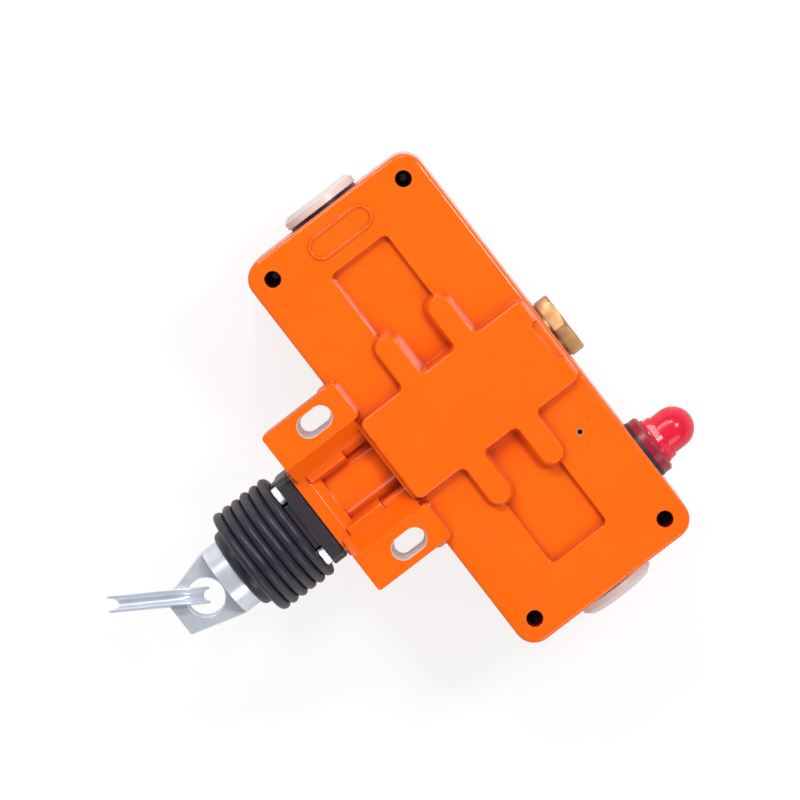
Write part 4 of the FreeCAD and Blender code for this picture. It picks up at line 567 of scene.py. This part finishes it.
bellowsSet = {
    "folds": 6,
    "pitch": 0.00425,
    "lobe": 0.00205,
    "root": 0.0174,
    "wall": 0.0009,
    "cuff": 0.0168,
    "cuffEdge": 0.0011,
    "cuffStart": 0.2,
    "bore": 0.0146,
    "step": 0.0001,
    "footBore": 0.0143,
    "footReach": 0.0053,
    "wave": 0.00022,
    "waveCount": 3,
    "waveTwist": 900,
    "arcSteps": 11,
    "rimSteps": 3,
    "edgeSteps": 7,
    "turns": 150,
    "sharp": 60.0,
}


# Folds of a boot: each is a half circle of the lobe's radius on straight sides down to the root.
# Reach = crest - lobe + lobe * cos(a), along = centre - lobe * sin(a), a from -90 to 90 degrees.
# The inside runs a wall's thickness below, and the cuff's edge is a quarter ellipse.
def makeBoot(look):
    low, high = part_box("bellows")
    middle, crest, start = (low + high) / 2, (high.y - low.y) / 2, high.x
    lobe, root, pitch, wall = look["lobe"], look["root"], look["pitch"], look["wall"]
    thin, inner = lobe - wall, root - wall
    bend = np.linspace(-np.pi / 2, np.pi / 2, look["arcSteps"])
    outside, inside = [(start, root)], []
    for fold in range(look["folds"]):
        centre = start - (fold + 0.5) * pitch
        outside.append((centre + lobe, root + wall / 2))
        outside += [(centre - lobe * math.sin(a), crest - lobe + lobe * math.cos(a)) for a in bend]
        outside.append((centre - lobe, root + wall / 2))
        outside.append((centre - pitch / 2, root))
        inside.append((centre + pitch / 2, inner))
        inside += [(centre - thin * math.sin(a), crest - lobe + thin * math.cos(a)) for a in bend[::2]]
    end, cuff, bore, step = start - look["folds"] * pitch, look["cuff"], look["bore"], look["step"]
    rim = (low.x + look["cuffEdge"] * 2 - end) * np.linspace(look["cuffStart"], 1, look["rimSteps"]) + end
    turn = np.linspace(0, np.pi / 2, look["edgeSteps"])[1:]
    nose = [(end - step, cuff)] + [(x, cuff) for x in rim]
    nose += [(rim[-1] - (rim[-1] - low.x) * math.sin(a), bore + (cuff - bore) * math.cos(a)) for a in turn]
    nose += [(end, bore), (end + step, inner)]
    reach = look["footReach"]
    foot = [(start - reach, inner), (start - reach, look["footBore"]), (start, look["footBore"])]
    inside = [spot for spot in inside if spot[0] < start - reach - lobe]
    profile = np.array(outside + nose + inside[::-1] + foot)

    # Moulded rubber is never quite round: the crests sink by a slow wave that turns from fold to fold
    def uneven(along, size, angles):
        share = np.clip((size - root) / (crest - root), 0, 1)
        wave = 1 + np.sin(look["waveCount"] * angles + along * look["waveTwist"])
        return size - look["wave"] * share * wave / 2

    points, faces = turnedPoints(profile, look["turns"], uneven, True)
    points += np.array((0.0, middle.y, middle.z))
    boot = newPiece("bellowsBoot", points, faces, "bellows", look["sharp"])
    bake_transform(boot)


makeBoot(bellowsSet)


# Main spring

springSet = {
    "wire": 0.0015,
    "coil": 0.0116,
    "free": 6.0,
    "dead": 1.0,
    "ease": 0.5,
    "section": 14,
    "steps": 40,
    "sharp": 50.0,
}


# Wire along a helix: angle t, reach coil, along = start + a wire's thickness for each turn + rise(t).
# The rise stands still on the dead end turns, which lie wire to wire, and the section is a circle square
# to the path.
def makeSpring(look):
    low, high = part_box("main_spring")
    middle = (low + high) / 2
    wire, coil, dead, size = look["wire"], look["coil"], look["dead"], look["section"]
    turns = look["free"] + 2 * dead
    count = int(turns * look["steps"]) + 1
    turn = np.linspace(0, turns, count)
    opening = dead + look["ease"]
    slope = np.interp(turn, (0, dead, opening, turns - opening, turns - dead, turns), (0, 0, 1, 1, 0, 0))
    rise = np.concatenate(((0,), np.cumsum((slope[1:] + slope[:-1]) / 2)))
    room = (high.x - low.x) - 2 * wire - turns * 2 * wire
    along = low.x + wire + turn * 2 * wire + rise / rise[-1] * room
    angle = 2 * np.pi * turn
    path = np.stack((along, middle.y + coil * np.cos(angle), middle.z + coil * np.sin(angle)), axis=-1)
    ahead = np.gradient(path, axis=0)
    ahead /= np.linalg.norm(ahead, axis=1)[:, None]
    out = np.stack((np.zeros(count), np.cos(angle), np.sin(angle)), axis=-1)
    over = np.cross(ahead, out)
    around = np.linspace(0, 2 * np.pi, size, endpoint=False)
    ring = out[:, None] * np.cos(around)[:, None] + over[:, None] * np.sin(around)[:, None]
    points = (path[:, None] + wire * ring).reshape(-1, 3)
    faces = gridFaces(count, size, False)
    faces += [list(range(size)), list(range((count - 1) * size, count * size))]
    spring = newPiece("mainSpring", points, faces, "main_spring", look["sharp"])
    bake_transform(spring)


makeSpring(springSet)


# Thimble

thimbleSet = {
    "hole": (-0.1271, 0.0, -0.032),
    "swing": 32.0,
    "roll": 8.0,
    "bow": 0.0076,
    "bowPlace": 0.0096,
    "length": 0.0373,
    "gap": 0.0016,
    "half": 0.00315,
    "sheet": 0.0009,
    "lipRise": 0.2,
    "pointed": 1.5,
    "steps": 120,
    "arc": 14,
    "sharp": 50.0,
}


# Rope groove bent to a teardrop. The path is an arc of the bow's radius and its two tangent legs;
# the section is two arcs round one centre, y = r * sin(a), lift = half - r * cos(a), a from -90 to 90.
# The legs end on a slant: length grows by the lift times a number, so that the flanges run out to points.
def makeThimble(look):
    bow, centre, half, sheet, arc = (look[name] for name in ("bow", "bowPlace", "half", "sheet", "arc"))
    away = look["length"] - centre
    span = math.hypot(away, look["gap"])
    lean = math.atan2(look["gap"], away) + math.acos(bow / span)
    leg = math.sqrt(span**2 - bow**2)
    bend = np.linspace(-np.pi / 2, np.pi / 2, arc)
    lip = np.array([(side * (half - sheet / 2), half + sheet * look["lipRise"]) for side in (1, -1)])
    arcs = (np.stack((r * np.sin(bend), half - r * np.cos(bend)), axis=-1) for r in (half - sheet, half))
    inner, outer = arcs
    section = np.concatenate((inner, lip[:1], outer[::-1], lip[1:]))
    size, lift = len(section), section[:, 1]
    arcEnd = bow * (np.pi - lean)
    full = arcEnd + leg - (lift.max() - lift) * look["pointed"]
    place = np.linspace(-1, 1, look["steps"])[:, None] * full
    beyond = np.maximum(np.abs(place) - arcEnd, 0)
    side = np.sign(place) + (place == 0)
    angle = np.pi - (np.abs(place) - beyond) / bow
    along = centre + (bow + lift) * np.cos(angle) + beyond * math.sin(lean)
    height = side * ((bow + lift) * np.sin(angle) - beyond * math.cos(lean))
    across = np.broadcast_to(section[:, 0], along.shape)
    points = np.stack((along, across, height), axis=-1).reshape(-1, 3)
    faces = gridFaces(look["steps"], size, False)
    for first in (0, (look["steps"] - 1) * size):
        pairs = [(first + i, first + 2 * arc - i) for i in range(arc)]
        faces += [[a, c, d, b] for (a, b), (c, d) in zip(pairs, pairs[1:])]
        faces += [[pairs[-1][0], first + arc, pairs[-1][1]], [pairs[0][0], first + size - 1, pairs[0][1]]]
    turn = Matrix.Rotation(math.radians(180 - look["swing"]), 3, "Z")
    turn = turn @ Matrix.Rotation(math.radians(look["roll"]), 3, "X")
    points = points @ np.array(turn).T + np.array(look["hole"])
    thimble = newPiece("ropeThimble", points, faces, "rope_thimble", look["sharp"])
    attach(thimble, "thimble")


makeThimble(thimbleSet)


# Lamp lens

lensSet = {
    "wall": 0.0012,
    "flutes": 18,
    "flute": 0.00035,
    "turns": 144,
    "domeSteps": 22,
    "tubeSteps": 8,
    "sharp": 50.0,
}


# Dome on a tube: reach = R * cos(a), along = shoulder + R * sin(a), a from 90 degrees at the tip to 0
def makeLens(look):
    low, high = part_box("lamp_lens")
    middle, radius = (low + high) / 2, (high.y - low.y) / 2
    shoulder, thin, turns = high.x - radius, radius - look["wall"], look["turns"]
    bend = np.linspace(np.pi / 2, 0, look["domeSteps"] + 1)[1:]
    tube = np.linspace(low.x, shoulder, look["tubeSteps"])
    outside = [(shoulder + radius * math.sin(a), radius * math.cos(a)) for a in bend]
    outside += [(x, radius) for x in tube[-2::-1]]
    inside = [(x, thin) for x in tube[:-1]]
    inside += [(shoulder + thin * math.sin(a), thin * math.cos(a)) for a in bend[::-1]]
    profile = np.array(outside + inside)
    rows = len(profile)

    # The inside sinks by half of 1 + cos(flutes * angle) times the flute's depth, which fades to the tip
    def fluted(along, size, angles):
        inner = (np.arange(rows) >= len(outside))[:, None]
        return size - inner * look["flute"] * (size / thin) * (1 + np.cos(look["flutes"] * angles)) / 2

    points, faces = turnedPoints(profile, turns, fluted, False)
    tips = np.array(((high.x, 0.0, 0.0), (shoulder + thin, 0.0, 0.0)))
    points = np.concatenate((points, tips)) + np.array((0.0, middle.y, middle.z))
    faces += fanFaces(len(points) - 2, 0, turns)
    faces += [face[::-1] for face in fanFaces(len(points) - 1, (rows - 1) * turns, turns)]
    lens = newPiece("lampLens", points, faces, "lamp_lens", look["sharp"])
    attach(lens, "housing")


makeLens(lensSet)
print("pieces made")


# Floor, sky, camera and lamps

floorSet = {"half": 1.6, "drop": 0.0002, "matt": 0.28, "glow": 0.77, "bounce": 0.85}


# Pale floor just under the lowest point; the camera sees it lifted to white, with its shadow kept
def makeFloor(look):
    half, low = look["half"], cadBox[0][2] - look["drop"]
    mesh = bpy.data.meshes.new("floor")
    corners = [(-half, -half, low), (half, -half, low), (half, half, low), (-half, half, low)]
    mesh.from_pydata(corners, [], [(0, 1, 2, 3)])
    floor = bpy.data.objects.new("floor", mesh)
    scene.collection.objects.link(floor)
    finish = bpy.data.materials.new("floorPaper")
    finish.use_nodes = True
    tree = finish.node_tree
    tree.nodes.remove(tree.nodes["Principled BSDF"])
    seen = put(tree, "ShaderNodeBsdfDiffuse", {"Color": (look["matt"],) * 3 + (1,)})
    plain = put(tree, "ShaderNodeBsdfDiffuse", {"Color": (look["bounce"],) * 3 + (1,)})
    glow = put(tree, "ShaderNodeEmission", {"Color": (1, 1, 1, 1), "Strength": look["glow"]})
    lifted = put(tree, "ShaderNodeAddShader", {0: seen.outputs[0], 1: glow.outputs[0]})
    rays = put(tree, "ShaderNodeLightPath").outputs
    choice = {0: rays["Is Camera Ray"], 1: plain.outputs[0], 2: lifted.outputs[0]}
    mix = put(tree, "ShaderNodeMixShader", choice)
    tree.links.new(mix.outputs[0], tree.nodes["Material Output"].inputs["Surface"])
    mesh.materials.append(finish)


# Strengths, and the height over the horizon, as a sine, between which the white backdrop fades
skySet = {"soft": 0.42, "ceiling": 0.07, "low": 0.0, "high": 0.38}


# Soft sky for light. The camera sees it plain white; glossy and glass rays see the white backdrop all
# round, which fades to a dim ceiling overhead.
def makeSky(look):
    world = bpy.data.worlds.new("sky")
    world.use_nodes = True
    scene.world = world
    tree = world.node_tree
    rays = put(tree, "ShaderNodeLightPath").outputs
    way = put(tree, "ShaderNodeTexCoord").outputs["Generated"]
    rise = put(tree, "ShaderNodeSeparateXYZ", {0: way}).outputs["Z"]
    backdrop = remap(tree, rise, look["low"], look["high"], 1.0, look["ceiling"])
    bent = calc(tree, "MAXIMUM", rays["Is Glossy Ray"], rays["Is Transmission Ray"])
    above = calc(tree, "SUBTRACT", backdrop, look["soft"])
    strength = calc(tree, "MULTIPLY_ADD", bent, above, look["soft"])
    strength = calc(tree, "MAXIMUM", strength, rays["Is Camera Ray"])
    back = tree.nodes["Background"]
    back.inputs["Color"].default_value = (1, 1, 1, 1)
    tree.links.new(strength, back.inputs["Strength"])


# Angles in degrees: how far the camera leans off the mounting face's normal, and its roll
cameraSet = {
    "aim": (-0.0208, 0.0158, -0.004),
    "distance": 1.449,
    "leanX": 2.40,
    "leanY": 3.20,
    "roll": 37.61,
    "lens": 173.0,
    "sensor": 36.0,
    "farthest": 10.0,
}


# A turned frame whose third axis points from the aim to the viewer, and whose second is up in the image
def turnedFrame(towards, up):
    back = towards.normalized()
    side = up.cross(back).normalized()
    return Matrix((side, back.cross(side), back)).transposed()


def makeCamera(look):
    data = bpy.data.cameras.new("camera")
    data.lens = look["lens"]
    data.sensor_width = look["sensor"]
    data.clip_end = look["farthest"]
    camera = bpy.data.objects.new("camera", data)
    scene.collection.objects.link(camera)
    leanX, leanY, roll = (math.radians(look[name]) for name in ("leanX", "leanY", "roll"))
    towards = Vector((math.tan(leanX), math.tan(leanY), 1.0))
    turn = turnedFrame(towards, Vector((math.sin(roll), math.cos(roll), 0.0)))
    spot = Vector(look["aim"]) + towards.normalized() * look["distance"]
    camera.matrix_world = Matrix.Translation(spot) @ turn.to_4x4()
    scene.camera = camera


# Lamps: bearing clockwise from the image's top, height above the mounting plane, distance, size, watts
lampAim = (-0.02, 0.0, -0.02)
lampSet = {
    "keyBox": (50.0, 60.0, 1.1, 0.2, 3.8),
    "sideBox": (-38.0, 40.0, 1.1, 0.2, 2.2),
    "topLeft": (-18.0, 50.0, 1.1, 0.08, 1.5),
    "topRight": (-4.0, 50.0, 1.1, 0.08, 1.5),
    "fillBox": (150.0, 36.0, 1.2, 0.5, 2.8),
}


def makeLamps(lamps, roll):
    for name, (bearing, height, distance, size, power) in lamps.items():
        data = bpy.data.lights.new(name, "AREA")
        data.size = size
        data.energy = power
        lamp = bpy.data.objects.new(name, data)
        scene.collection.objects.link(lamp)
        turn, rise = math.radians(roll + bearing), math.radians(height)
        away = Vector((math.sin(turn) * math.cos(rise), math.cos(turn) * math.cos(rise), math.sin(rise)))
        facing = turnedFrame(away, Vector((0.0, 0.0, 1.0)))
        lamp.matrix_world = Matrix.Translation(Vector(lampAim) + away * distance) @ facing.to_4x4()


makeFloor(floorSet)
makeSky(skySet)
makeCamera(cameraSet)
makeLamps(lampSet, cameraSet["roll"])
scene.view_settings.view_transform = "Standard"
print("studio ready")
